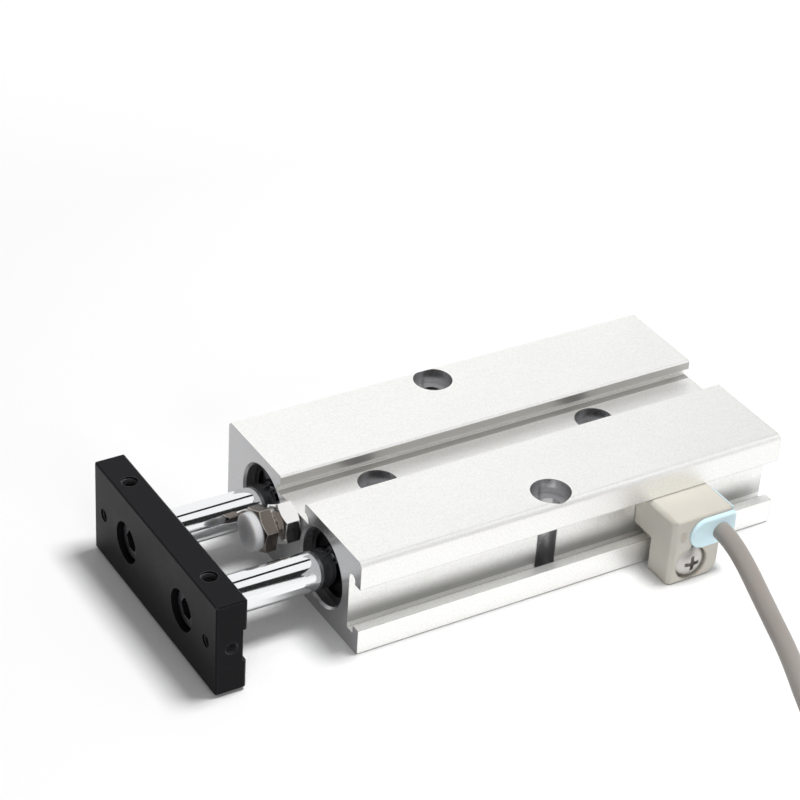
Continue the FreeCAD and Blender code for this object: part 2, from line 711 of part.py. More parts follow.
def make_piston(side, x):
    """Piston with two lip seals, a wear ring, a magnet and the nut that holds it on the rod."""
    outer = BORE_RADIUS - s.piston_play
    floor = outer - s.groove_depth
    grooves = []
    start = PISTON_FRONT + s.land
    for width in (s.lip_seal_width, s.wear_ring_width, s.magnet_width, s.lip_seal_width):
        grooves.append((start, start + width))
        start = start + width + s.land
    corners = [(s.spigot_dia / 2 + s.spigot_play, PISTON_FRONT), (outer, PISTON_FRONT)]
    for begin, end in grooves:
        corners += [(outer, begin), (floor, begin), (floor, end), (outer, end)]
    pocket_floor = PISTON_REAR - s.piston_pocket_depth
    corners += [(outer, PISTON_REAR), (s.piston_pocket_dia / 2, PISTON_REAR),
                (s.piston_pocket_dia / 2, pocket_floor),
                (s.spigot_dia / 2 + s.spigot_play, pocket_floor)]
    turned(f"piston_{side}", corners, x, MID_HEIGHT)
    lip = BORE_RADIUS - s.lip_play
    for number, (begin, end) in ((1, grooves[0]), (2, grooves[3])):
        back, mouth = (end, begin) if number == 1 else (begin, end)
        notch = (begin + end) / 2
        middle = (floor + lip) / 2
        web = (lip - floor) / 4
        ring = [(floor, back), (lip - web, back), (lip, mouth), (lip - web, mouth), (middle, notch),
                (floor + web, mouth), (floor, mouth)]
        turned(f"piston_seal_{number}_{side}", ring, x, MID_HEIGHT)
    turned(f"wear_ring_{side}", ring_corners(floor, BORE_RADIUS - s.wear_play, *grooves[1]),
           x, MID_HEIGHT)
    turned(f"piston_magnet_{side}", ring_corners(floor, BORE_RADIUS - s.magnet_play, *grooves[2]),
           x, MID_HEIGHT)
    nut = hexagon(f"piston_nut_{side}", s.piston_nut_flats, s.piston_nut_thick)
    thread = solid("Part::Cylinder", f"piston_nut_thread_{side}",
                   Radius=s.spigot_dia / 2 + s.spigot_play, Height=s.piston_nut_thick)
    nut = cut_away(f"piston_nut_{side}", nut, thread)
    place(nut, x, FRONT + pocket_floor, MID_HEIGHT, Rotation(Vector(1, 0, 0), -90))


def make_rear_cover(side, x):
    """Rear plug with an O-ring and a tapped hole to pull it out by."""
    outer = BORE_RADIUS - s.cover_play
    end = REAR_RING
    ring_start = REAR_COVER_START + s.rear_cover_length / 2 - (s.o_ring + s.o_ring_room) / 2
    ring_end = ring_start + s.o_ring + s.o_ring_room
    ring_floor = BORE_RADIUS - s.o_ring
    pull = s.pull_thread / 2
    turned(f"rear_cover_{side}", [
        (ZERO, REAR_COVER_START), (outer, REAR_COVER_START), (outer, ring_start),
        (ring_floor, ring_start), (ring_floor, ring_end), (outer, ring_end), (outer, end),
        (pull, end), (pull, end - s.pull_depth), (ZERO, end - s.pull_depth)], x, MID_HEIGHT)
    make_o_ring(f"rear_o_ring_{side}", x, (ring_start + ring_end) / 2)


def make_bore_stack(side, sign):
    """Everything inside one bore."""
    x = s.rod_pitch / 2 * sign
    make_rod_cover(side, x)
    front_ring = s.ring_inset + s.ring_groove - s.ring_thick
    make_retaining_ring(f"front_retaining_ring_{side}", x, front_ring,
                        UPWARDS - FRONT_RING_LEAN * sign)
    bumper_bore = s.rod_dia / 2 + s.rod_clearance
    turned(f"front_bumper_{side}",
           ring_corners(bumper_bore, s.bumper_dia / 2, TAIL_END, FRONT_STOP), x, MID_HEIGHT)
    make_rod(side, x)
    make_piston(side, x)
    turned(f"rear_bumper_{side}",
           ring_corners(bumper_bore, s.bumper_dia / 2, REAR_STOP, REAR_COVER_START), x, MID_HEIGHT)
    make_rear_cover(side, x)
    make_retaining_ring(f"rear_retaining_ring_{side}", x, REAR_RING, UPWARDS)


# ---------------------------------------------------------------------------------------------
# End plate and its screws.
# ---------------------------------------------------------------------------------------------
def make_end_plate():
    """Plate that joins the rods; a groove along its back seats their flats."""
    body = new_body("end_plate")
    half = MID_HEIGHT - s.plate_low
    half_length = SIDE - s.plate_end_short
    edge = s.plate_edge
    slot = s.plate_slot_height / 2
    slot_floor = PLATE_BACK - s.plate_slot_depth
    profile = sketch_on(body, "plate_profile", "YZ_Plane")
    draw_outline(profile, [
        (PLATE_FRONT + edge, -half), (PLATE_BACK - edge, -half), (PLATE_BACK, edge - half),
        (PLATE_BACK, -slot - edge), (slot_floor, -slot), (slot_floor, slot), (PLATE_BACK, slot),
        (PLATE_BACK, half - edge), (PLATE_BACK - edge, half), (PLATE_FRONT + edge, half),
        (PLATE_FRONT, half - edge), (PLATE_FRONT, edge - half)])
    pad(body, profile, half_length * 2, midplane=True)
    for name, plane, offset, low, high in (
            ("upright", "XY_Plane", half, PLATE_FRONT, PLATE_BACK),
            ("level", "XZ_Plane", -PLATE_FRONT, -half, half)):
        corners = sketch_on(body, f"plate_end_edges_{name}", plane, offset)
        for end, inward in ((-half_length, edge), (half_length, -edge)):
            draw_outline(corners, [(end, low), (end + inward, low), (end, low + edge)])
            draw_outline(corners, [(end, high - edge), (end + inward, high), (end, high)])
        pocket(body, corners)

    rod_places = [(s.rod_pitch / 2 * sign, ZERO) for sign in (-1, 1)]
    shanks = sketch_on(body, "plate_shanks", "XZ_Plane", -PLATE_FRONT)
    draw_circles(shanks, s.screw_dia + s.thread_play * 2, rod_places)
    pocket(body, shanks)
    heads = sketch_on(body, "plate_heads", "XZ_Plane", -PLATE_FRONT)
    draw_circles(heads, s.plate_head_dia, rod_places)
    pocket(body, heads, s.plate_head_depth)
    fronts = sketch_on(body, "plate_front_threads", "XZ_Plane", -PLATE_FRONT)
    draw_circles(fronts, s.plate_front_thread,
                 [((half_length - s.plate_front_inset) * sign, ZERO) for sign in (-1, 1)])
    pocket(body, fronts)

    tops = sketch_on(body, "plate_top_threads", "XY_Plane", half)
    middle = PLATE_FRONT + s.plate_thick / 2
    draw_circles(tops, s.plate_top_thread,
                 [((half_length - s.plate_top_inset) * sign, middle) for sign in (-1, 1)])
    pocket(body, tops, s.plate_top_depth)
    for sign in (-1, 1):
        end = sketch_on(body, f"plate_end_thread_{'left' if sign < 0 else 'right'}", "YZ_Plane",
                        half_length * sign)
        draw_circles(end, s.plate_end_thread, [(middle, ZERO)])
        pocket(body, end, s.plate_end_depth, reverse=sign < 0)
    place(body, ZERO, FRONT, MID_HEIGHT)
    doc.recompute()


def make_plate_screw(side, x):
    """Low-head socket screw through the plate into the rod's end."""
    seat = PLATE_FRONT + s.plate_head_depth
    head = seat - s.screw_head_thick
    tip = seat + s.screw_length
    radius = s.screw_head_dia / 2
    edge = s.plate_edge
    body = turned(f"plate_screw_{side}", [
        (ZERO, head), (radius - edge, head), (radius, head + edge), (radius, seat),
        (s.screw_dia / 2, seat), (s.screw_dia / 2, tip), (ZERO, tip)], x, MID_HEIGHT)
    socket = sketch_on(body, f"plate_screw_socket_{side}", "XZ_Plane", -head)
    draw_outline(socket, [polar(s.screw_socket / math.sqrt(3), HEXAGON_STEP * step) for step in range(6)])
    pocket(body, socket, s.screw_socket_depth)


# ---------------------------------------------------------------------------------------------
# Stop bolt between the rods.
# ---------------------------------------------------------------------------------------------
def make_stop():
    """Hexagon bolt with a soft pad in its head, and the nut that locks it against the body."""
    outward = Rotation(Vector(1, 0, 0), 90)
    head = hexagon("stop_bolt", s.stop_head_flats, s.stop_head_thick)
    shank = solid("Part::Cylinder", "stop_shank", Radius=s.stop_dia / 2, Height=s.stop_length,
                  Base_z=-s.stop_length)
    socket = solid("Part::Cylinder", "stop_socket", Radius=s.stop_pad_peg / 2,
                   Height=s.stop_pad_peg_depth, Base_z=s.stop_head_thick - s.stop_pad_peg_depth)
    bolt = cut_away("stop_bolt", joined("stop_bolt_blank", head, shank), socket)
    head_back = FRONT - s.stop_head_out + s.stop_head_thick
    place(bolt, ZERO, head_back, STOP_HEIGHT,
          outward * Rotation(Vector(0, 0, 1), s.stop_head_turn.value))

    pad_radius = s.stop_pad_dia / 2
    peg = s.stop_pad_peg / 2 - s.thread_play
    head_front = -s.stop_head_out
    shoulder = head_front - s.stop_pad_out
    dome = (pad_radius * pad_radius + s.stop_pad_crown * s.stop_pad_crown) / (s.stop_pad_crown * 2)
    turned("stop_pad", [
        (ZERO, shoulder - s.stop_pad_crown, dome), (pad_radius, shoulder), (pad_radius, head_front),
        (peg, head_front), (peg, head_front + s.stop_pad_peg_depth),
        (ZERO, head_front + s.stop_pad_peg_depth)], ZERO, STOP_HEIGHT)

    nut = hexagon("stop_nut", s.stop_nut_flats, s.stop_nut_thick, both_ends=True)
    thread = solid("Part::Cylinder", "stop_nut_thread", Radius=s.stop_dia / 2 + s.thread_play,
                   Height=s.stop_nut_thick)
    nut = cut_away("stop_lock_nut", nut, thread)
    place(nut, ZERO, FRONT, STOP_HEIGHT,
          outward * Rotation(Vector(0, 0, 1), s.stop_nut_turn.value))


# ---------------------------------------------------------------------------------------------
# Position sensor on the rail.
# ---------------------------------------------------------------------------------------------
SENSOR_ORIGIN = FRONT + s.sensor_front
SENSOR_FACE = SIDE + s.sensor_out
SENSOR_TOP = LIP_BOTTOM - s.sensor_play
ARM_BOTTOM = s.rail_top + s.sensor_arm_gap
BOOT_BOTTOM = ARM_BOTTOM - s.boot_drop
CAVITY_BOTTOM = ARM_BOTTOM + s.cavity_wall
CAVITY_HEIGHT = SENSOR_TOP - s.cavity_cover - CAVITY_BOTTOM
WINDOW_HEIGHT = CAVITY_BOTTOM + CAVITY_HEIGHT / 2
SENSOR_INNER = SLOT_WALL + s.sensor_play * 2
HOOK_OUTER = SIDE - s.slot_lip - s.sensor_play
LEG_INNER = SIDE + s.sensor_leg_gap
CLAMP_SEAT = SENSOR_FACE - s.clamp_recess_depth
CLAMP_RECESS = s.clamp_head_dia / 2 + s.clamp_recess_play
BOOT_FLOOR = SENSOR_FACE - s.boot_depth
BOOT_END = s.boot_inset + s.boot_length
BOOT_TOP = SENSOR_TOP - s.boot_cover


def window_corners():
    """An upright slot with round ends."""
    radius = s.window_wide / 2
    left, right = s.window_inset - radius, s.window_inset + radius
    low = WINDOW_HEIGHT - s.window_long / 2 + radius
    high = WINDOW_HEIGHT + s.window_long / 2 - radius
    return [(s.window_inset, low - radius, radius), (right, low), (right, high, radius),
            (s.window_inset, high + radius, radius), (left, high), (left, low, radius)]


def make_sensor_housing():
    """Moulded housing: an arm in the slot, a hook behind the rail and a leg with the clamp."""
    body = new_body("sensor_housing")
    edge = s.sensor_edge
    profile = sketch_on(body, "sensor_profile", "XZ_Plane")
    draw_outline(profile, [
        (SENSOR_INNER, ARM_BOTTOM), (LEG_INNER, ARM_BOTTOM),
        (LEG_INNER, s.sensor_leg_bottom), (SENSOR_FACE - edge, s.sensor_leg_bottom, edge),
        (SENSOR_FACE, s.sensor_leg_bottom + edge), (SENSOR_FACE, SENSOR_TOP - edge, edge),
        (SENSOR_FACE - edge, SENSOR_TOP), (HOOK_OUTER, SENSOR_TOP),
        (HOOK_OUTER, SENSOR_TOP + s.sensor_hook_up), (SENSOR_INNER, SENSOR_TOP + s.sensor_hook_up)])
    pad(body, profile, s.sensor_length, reverse=True)

    hook = sketch_on(body, "sensor_hook", "XZ_Plane", -s.sensor_hook_inset)
    hook_tip = s.rail_top - s.sensor_hook_down
    draw_outline(hook, [(SENSOR_INNER, hook_tip), (HOOK_OUTER, hook_tip),
                        (HOOK_OUTER, ARM_BOTTOM), (SENSOR_INNER, ARM_BOTTOM)])
    pad(body, hook, s.sensor_length - s.sensor_hook_inset * 2, reverse=True)

    leg_end = sketch_on(body, "sensor_leg_end", "YZ_Plane", SENSOR_FACE)
    turn, leg_length = s.sensor_leg_round, s.sensor_leg_length
    draw_outline(leg_end, [
        (leg_length - turn, ZERO), (s.sensor_length, ZERO), (s.sensor_length, ARM_BOTTOM),
        (leg_length, ARM_BOTTOM), (leg_length, s.sensor_leg_bottom + turn, -turn),
        (leg_length - turn, s.sensor_leg_bottom)])
    pocket(body, leg_end, SENSOR_FACE - LEG_INNER)
    bevel = s.sensor_front_edge
    front_edges = {
        "top": ("YZ_Plane", SENSOR_FACE, SENSOR_FACE - HOOK_OUTER, [
            (ZERO, SENSOR_TOP - bevel), (bevel, SENSOR_TOP), (ZERO, SENSOR_TOP)]),
        "side": ("XY_Plane", SENSOR_TOP, SENSOR_TOP, [
            (SENSOR_FACE - bevel, ZERO), (SENSOR_FACE, ZERO), (SENSOR_FACE, bevel)])}
    for name, (plane, offset, depth, corners) in front_edges.items():
        edge_sketch = sketch_on(body, f"front_edge_{name}", plane, offset)
        draw_outline(edge_sketch, corners)
        pocket(body, edge_sketch, depth)

    clamp = [(s.clamp_inset, s.clamp_height)]
    recess_top = s.clamp_height + CLAMP_RECESS
    cuts = {
        "recess": (CLAMP_RECESS * 2, clamp),
        "notch": (s.clamp_notch, [(s.clamp_inset, recess_top)])}
    for name, (diameter, centres) in cuts.items():
        cut = sketch_on(body, f"clamp_{name}", "YZ_Plane", SENSOR_FACE)
        draw_circles(cut, diameter, centres)
        pocket(body, cut, s.clamp_recess_depth)
    screw_hole = sketch_on(body, "clamp_hole", "YZ_Plane", SENSOR_FACE)
    draw_circles(screw_hole, s.clamp_thread + s.thread_play * 2, clamp)
    pocket(body, screw_hole, SENSOR_FACE - LEG_INNER)
    nut_seat = sketch_on(body, "clamp_nut_seat", "YZ_Plane", LEG_INNER)
    nut_radius = (s.clamp_nut_flats + s.thread_play * 2) / math.sqrt(3)
    corners = [polar(nut_radius, HEXAGON_STEP * step) for step in range(6)]
    draw_outline(nut_seat, [(s.clamp_inset + y, s.clamp_height + z) for y, z in corners])
    pocket(body, nut_seat, s.clamp_nut_thick, reverse=True)

    boot_seat = sketch_on(body, "boot_seat", "YZ_Plane", SENSOR_FACE)
    draw_outline(boot_seat, [
        (s.boot_inset + s.boot_round, BOOT_BOTTOM), (BOOT_END, BOOT_BOTTOM),
        (BOOT_END, BOOT_TOP), (s.boot_inset + s.boot_round, BOOT_TOP, s.boot_round),
        (s.boot_inset, BOOT_TOP - s.boot_round), (s.boot_inset, BOOT_BOTTOM + s.boot_round,
                                                  s.boot_round)])
    pocket(body, boot_seat, s.boot_depth)
    cavity = sketch_on(body, "sensor_cavity", "YZ_Plane", BOOT_FLOOR)
    cavity_end = s.cavity_inset + s.cavity_length
    cavity_top = CAVITY_BOTTOM + CAVITY_HEIGHT
    draw_outline(cavity, [(s.cavity_inset, CAVITY_BOTTOM), (cavity_end, CAVITY_BOTTOM),
                          (cavity_end, cavity_top), (s.cavity_inset, cavity_top)])
    pocket(body, cavity, s.cavity_depth)
    window = sketch_on(body, "window_seat", "YZ_Plane", SENSOR_FACE)
    draw_outline(window, window_corners())
    pocket(body, window, s.boot_depth)
    place(body, ZERO, SENSOR_ORIGIN, ZERO)
    doc.recompute()


def make_sensor_parts():
    """What the housing holds: cable boot, lamp window, circuit board, clamp screw and its nut."""
    boot = new_body("cable_boot")
    outline = sketch_on(boot, "boot_outline", "YZ_Plane", BOOT_FLOOR)
    draw_outline(outline, rounded_box(s.boot_inset, BOOT_END, BOOT_BOTTOM, BOOT_TOP,
                                      s.boot_round, s.boot_far_round))
    pad(boot, outline, s.boot_depth + s.boot_out)
    bevel_round_face(boot, "boot_face_edge", "x", SENSOR_FACE + s.boot_out, s.boot_edge)
    skin = sketch_on(boot, "boot_skin", "XZ_Plane", -s.sensor_length)
    draw_outline(skin, [(LEG_INNER, ARM_BOTTOM), (SENSOR_FACE, ARM_BOTTOM),
                        (SENSOR_FACE, SENSOR_TOP), (LEG_INNER, SENSOR_TOP)])
    pad(boot, skin, s.boot_flange, reverse=True)
    place(boot, ZERO, SENSOR_ORIGIN, ZERO)

    window = new_body("lamp_window")
    outline = sketch_on(window, "window_outline", "YZ_Plane", BOOT_FLOOR)
    draw_outline(outline, window_corners())
    pad(window, outline, s.boot_depth)
    place(window, ZERO, SENSOR_ORIGIN, ZERO)

    cavity_floor = BOOT_FLOOR - s.cavity_depth
    board = solid("Part::Box", "board", Length=s.board_thick, Width=s.cavity_length,
                  Height=CAVITY_HEIGHT, Base_x=cavity_floor,
                  Base_y=SENSOR_ORIGIN + s.cavity_inset, Base_z=CAVITY_BOTTOM)
    chip = solid("Part::Box", "board_chip", Length=s.board_thick, Width=s.cavity_length / 3,
                 Height=CAVITY_HEIGHT / 2, Base_x=cavity_floor + s.board_thick,
                 Base_y=SENSOR_ORIGIN + s.cavity_inset + s.cavity_length / 3,
                 Base_z=CAVITY_BOTTOM + CAVITY_HEIGHT / 4)
    lamp = solid("Part::Cylinder", "board_lamp", Radius=s.window_wide / 2,
                 Height=s.cavity_depth - s.board_thick, Base_x=cavity_floor + s.board_thick,
                 Base_y=SENSOR_ORIGIN + s.window_inset, Base_z=WINDOW_HEIGHT)
    lamp.Placement = Placement(lamp.Placement.Base, Rotation(Vector(0, 1, 0), 90))
    joined("sensor_board", board, chip, lamp)

    radius = s.clamp_head_dia / 2
    crown = s.clamp_head_thick / 2
    dome = (radius * radius + crown * crown) / (crown * 2)
    shoulder = CLAMP_SEAT + s.clamp_head_thick - crown
    tip = SIDE + s.clamp_tip_gap
    thread = s.clamp_thread / 2
    screw = turned("clamp_screw", [
        (ZERO, tip), (thread, tip), (thread, CLAMP_SEAT), (radius, CLAMP_SEAT),
        (radius, shoulder, dome), (ZERO, CLAMP_SEAT + s.clamp_head_thick)], ZERO, s.clamp_height)
    place(screw, ZERO, SENSOR_ORIGIN + s.clamp_inset, s.clamp_height,
          Rotation(Vector(0, 0, 1), -90))
    cross = sketch_on(screw, "clamp_cross", "XZ_Plane", -(CLAMP_SEAT + s.clamp_head_thick))
    arm, half = s.clamp_head_dia / 4, s.clamp_cross / 2
    draw_outline(cross, [
        (-arm, -half), (-half, -half), (-half, -arm), (half, -arm), (half, -half), (arm, -half),
        (arm, half), (half, half), (half, arm), (-half, arm), (-half, half), (-arm, half)])
    pocket(screw, cross, s.clamp_cross_depth, reverse=True)

    nut = hexagon("clamp_nut", s.clamp_nut_flats, s.clamp_nut_thick)
    thread_hole = solid("Part::Cylinder", "clamp_nut_thread",
                        Radius=s.clamp_thread / 2 + s.thread_play, Height=s.clamp_nut_thick)
    nut = cut_away("clamp_nut", nut, thread_hole)
    place(nut, LEG_INNER, SENSOR_ORIGIN + s.clamp_inset, s.clamp_height,
          Rotation(Vector(0, 1, 0), 90) * Rotation(Vector(0, 0, 1), HEXAGON_STEP / 2))


# ---------------------------------------------------------------------------------------------
# Sensor cable.
# ---------------------------------------------------------------------------------------------
def rounded_path(points):
    """Straight runs with a tangent arc at each inner point, as large as the two runs allow."""
    points = [Vector(*point) for point in points]
    edges = []
    last = points[0]
    radii = []
    for before, corner, after in zip(points, points[1:], points[2:]):
        inward = (corner - before).normalize()
        outward = (after - corner).normalize()
        half_turn = inward.getAngle(outward) / 2
        reach = ARC_SHARE * min((corner - before).Length, (after - corner).Length)
        radius = reach / math.tan(half_turn)
        radii.append(round(radius, 1))
        begin = corner - inward * reach
        end = corner + outward * reach
        bisector = (outward - inward).normalize()
        middle = corner + bisector * (radius / math.cos(half_turn) - radius)
        edges.append(Part.LineSegment(last, begin).toShape())
        edges.append(Part.Arc(begin, middle, end).toShape())
        last = end
    edges.append(Part.LineSegment(last, points[-1]).toShape())
    print("cable bend radii", radii)
    return Part.Wire(edges)


def make_cable():
    """Cable from the boot to its coil, the tied coil itself and the bare leads at its end."""
    path = rounded_path(CABLE_ROUTE)
    start = Vector(*CABLE_ROUTE[0])
    heading = Vector(*CABLE_ROUTE[1]) - start
    section = Part.Wire(Part.Circle(start, heading, SIZES["cable_dia"] / 2).toShape())
    tube = doc.addObject("Part::Feature", "sensor_cable")
    tube.Shape = path.makePipeShell([section], True, False)
    expected = path.Length * math.pi * SIZES["cable_dia"] ** 2 / 4
    print("cable length", round(path.Length, 2), "volume", round(tube.Shape.Volume / expected, 4))

    centre = [as_size(number) for number in COIL_CENTRE]
    inner, outer = s.coil_bore / 2, s.coil_dia / 2
    low, thick = s.tie_thick, s.tie_thick
    step_top = low + s.coil_step_high
    top = low + s.coil_high
    step = inner + s.coil_step_wide
    rings = {}
    for label in ("cable_coil", "tie_room"):
        rings[label] = new_body(label)
        section = sketch_on(rings[label], label + "_section", "XZ_Plane")
        draw_outline(section, [(inner, low), (outer, low), (outer, top), (step, top),
                               (step, step_top), (inner, step_top)])
        turn = rings[label].newObject("PartDesign::Revolution", label + "_turn")
        turn.Profile = section
        turn.ReferenceAxis = (section, ["V_Axis"])
        turn.Angle = 360
        place(rings[label], centre[0], centre[1], ZERO)

    band = new_body("tie_band")
    outline = sketch_on(band, "tie_outline", "XZ_Plane")
    draw_outline(outline, [
        (inner - thick, ZERO), (outer + thick, ZERO), (outer + thick, top + thick),
        (step - thick, top + thick), (step - thick, step_top + thick),
        (inner - thick, step_top + thick)])
    pad(band, outline, s.tie_wide, midplane=True)
    place(band, centre[0], centre[1], ZERO)
    doc.recompute()
    cut_away("cable_tie", band, rings["tie_room"])

    leads = []
    start_x, start_y = polar(inner + s.lead_inset, LEAD_START)
    for number, aim in enumerate(LEAD_AIMS):
        lead = solid("Part::Cylinder", f"lead_{number}", Radius=s.lead_dia / 2,
                     Height=s.lead_length)
        place(lead, centre[0] + start_x - s.lead_pitch * number, centre[1] + start_y,
              s.lead_dia / 2, Rotation(Vector(0, 0, 1), aim) * Rotation(Vector(0, 1, 0), 90))
        leads.append(lead)
    pair = doc.addObject("Part::Compound", "cable_leads")
    pair.Links = leads
    pair.Label = "cable_leads"


# ---------------------------------------------------------------------------------------------
# Build, check and write.
# ---------------------------------------------------------------------------------------------
def build():
    """Make every piece in the order in which the product is assembled."""
    make_body_block()
    for side, sign in SIDES.items():
        make_bore_stack(side, sign)
    make_end_plate()
    for side, sign in SIDES.items():
        make_plate_screw(side, s.rod_pitch / 2 * sign)
    make_stop()
    make_sensor_housing()
    make_sensor_parts()
    make_cable()
    doc.recompute()


def pieces():
    """The finished pieces: bodies and shapes that no other shape is made from."""
    shapes = [item for item in doc.Objects
              if item.TypeId == "PartDesign::Body" or item.TypeId.startswith("Part::")]
    return [item for item in shapes if not any(user in shapes for user in item.InList)]


def check_and_write():
    """Stop on any failed object or bad shape, then write one file for each piece."""
    for item in doc.Objects:
        if "Invalid" in item.State or "Error" in item.State:
            raise RuntimeError(f"{item.Label} failed: {item.State}")
    finished = pieces()
    for item in finished:
        if item.Shape.isNull() or not item.Shape.isValid():
            raise RuntimeError(f"{item.Label} has a bad shape")
    os.makedirs("parts", exist_ok=True)
    for item in finished:
        item.Shape.exportStep(f"parts/{item.Label}.step")
    print(len(finished), "pieces")


build()
check_and_write()
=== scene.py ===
# %% [markdown]
# # A guided pneumatic cylinder, dressed for the camera
#
# The cylinder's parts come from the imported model, at their true size.  This lesson gives them
# their finishes, winds the sensor's cable, cuts the threads of the tapped holes, which the plain
# model leaves smooth, and sets up the studio.  Lengths are in metres: Z points up, the rods leave
# the body towards -Y, and the sensor's rail is on the +X side.

import math

import bpy
import numpy as np
from mathutils import Matrix, Vector


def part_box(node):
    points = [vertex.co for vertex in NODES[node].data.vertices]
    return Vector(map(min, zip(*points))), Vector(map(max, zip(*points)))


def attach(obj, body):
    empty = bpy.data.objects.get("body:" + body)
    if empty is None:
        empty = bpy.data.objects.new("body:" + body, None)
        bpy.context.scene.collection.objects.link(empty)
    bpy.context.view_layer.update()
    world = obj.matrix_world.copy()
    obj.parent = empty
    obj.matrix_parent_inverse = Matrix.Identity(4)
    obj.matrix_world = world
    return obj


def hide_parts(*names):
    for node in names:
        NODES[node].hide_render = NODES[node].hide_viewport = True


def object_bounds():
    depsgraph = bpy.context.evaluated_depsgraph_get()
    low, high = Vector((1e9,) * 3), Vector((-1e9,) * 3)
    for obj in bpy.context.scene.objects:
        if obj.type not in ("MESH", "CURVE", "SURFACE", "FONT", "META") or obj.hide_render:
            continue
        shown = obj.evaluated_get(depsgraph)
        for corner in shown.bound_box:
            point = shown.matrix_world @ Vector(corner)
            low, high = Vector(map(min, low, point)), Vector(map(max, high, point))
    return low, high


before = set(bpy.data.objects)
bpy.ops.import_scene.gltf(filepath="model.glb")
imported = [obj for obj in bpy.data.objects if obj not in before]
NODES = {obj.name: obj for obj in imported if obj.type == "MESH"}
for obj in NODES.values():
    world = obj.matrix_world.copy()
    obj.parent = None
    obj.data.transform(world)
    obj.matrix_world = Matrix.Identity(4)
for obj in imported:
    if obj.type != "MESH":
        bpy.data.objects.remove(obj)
CAD_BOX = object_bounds()
MM = 0.001
print("nodes", len(NODES), "size in mm", [round((hi - lo) / MM, 1) for lo, hi in zip(*CAD_BOX)])

# %% [markdown]
# ## The camera
#
# A small product is shot from well back with a long lens, so that its edges stay almost
# parallel.  The camera stands off the plate's near corner, about 33 degrees above the table.  It
# leans a little to one side, so its own axes are worked out from its three angles: heading,
# height and roll.

# %% Camera
HEADING, HEIGHT, ROLL = (math.radians(angle) for angle in (57.53, 32.915, 3.67))
CAMERA_PLACE = (0.3533, -0.2469, 0.3070)
LENS_LENGTH, SENSOR_WIDTH = 114.7, 36     # in millimetres, as Blender's cameras want them


def camera_axes(heading, height, roll):
    """Right, up and backward directions: a level camera at that heading and height, then rolled
    about its own line of sight."""
    back = Vector((math.sin(heading) * math.cos(height), -math.cos(heading) * math.cos(height),
                   math.sin(height)))
    level = Vector((math.cos(heading), math.sin(heading), 0))
    rise = back.cross(level)
    right = level * math.cos(roll) + rise * math.sin(roll)
    up = rise * math.cos(roll) - level * math.sin(roll)
    return right, up, back


lens = bpy.data.cameras.new("product_camera")
lens.lens = LENS_LENGTH
lens.sensor_width = SENSOR_WIDTH
camera = bpy.data.objects.new("product_camera", lens)
bpy.context.collection.objects.link(camera)
axes = camera_axes(HEADING, HEIGHT, ROLL)
camera.matrix_world = Matrix.Translation(CAMERA_PLACE) @ Matrix(axes).transposed().to_4x4()
bpy.context.scene.camera = camera
print("camera looks along", [round(x, 3) for x in -axes[2]])

# %% [markdown]
# ## The sensor's cable
#
# A position sensor of this kind comes with a moulded-on lead of about 2 m, 4 mm thick.  It leaves
# the blue boot straight, sinks to the table within a few centimetres and runs off to one side.
# The rest is wound into a tied coil.  The whole lead is one NURBS spline: its first points are
# given one by one, and the coil's turns are worked out by rule, column by column, as hands wind
# them from the outside in.

# %% Points of the cable
CABLE_DIAMETER = 4 * MM
CABLE_RUN = np.array([
    (36.7, 32.7, 10.8),
    (41.5, 32.7, 10.8),
    (57.1, 30.1, 5.0),
    (67.0, 28.2, 2.05),
    (81.0, 21.7, 2.05),
    (94.0, 16.8, 2.05),
    (106.9, 14.0, 2.8),
]) * MM
COIL_CENTRE = np.array((116.2, 42.5)) * MM
# Each column of the coil: its radius in millimetres, its turns, and whether it is wound down.
COLUMNS = [(30, 3, False), (26, 3, True), (22, 3, False), (18, 3, True), (14, 1.2, False)]
COIL_FOOT = 2.8         # height of the lowest turn's middle, in millimetres
COIL_PITCH = 4.0        # from one turn to the next one up
TURN_POINTS = 16
STEP_SHARE = 0.2        # the part of a turn in which the cable climbs onto the next layer


def coil_turns(columns, start_angle, lowest, pitch):
    """Walk round the coil.  Within a column the radius holds, and the height changes by one pitch
    a turn, at the end of the turn.  The next column starts one pitch further in."""
    radii, heights, angles = [], [], []
    turns_done = 0
    for radius, turns, downward in columns:
        count = round(turns * TURN_POINTS)
        last = math.ceil(turns) - 1
        share = (np.arange(count) + 1) / TURN_POINTS
        climb = np.clip((share % 1 - (1 - STEP_SHARE)) / STEP_SHARE, 0, 1)
        layer = np.clip(np.floor(share) + climb, 0, last)
        heights.append(lowest + pitch * ((last - layer) if downward else layer))
        radii.append(np.full(count, float(radius)))
        angles.append(start_angle + 2 * math.pi * (turns_done + share))
        turns_done += turns
    radius, height, angle = (np.concatenate(parts) for parts in (radii, heights, angles))
    return np.stack([radius * np.cos(angle), radius * np.sin(angle), height], axis=1)


entry = CABLE_RUN[-1, :2] - COIL_CENTRE
turns = coil_turns(COLUMNS, math.atan2(entry[1], entry[0]), COIL_FOOT, COIL_PITCH) * MM
turns[:, :2] += COIL_CENTRE
cable_points = np.vstack([CABLE_RUN, turns])
print("cable control points", len(cable_points))


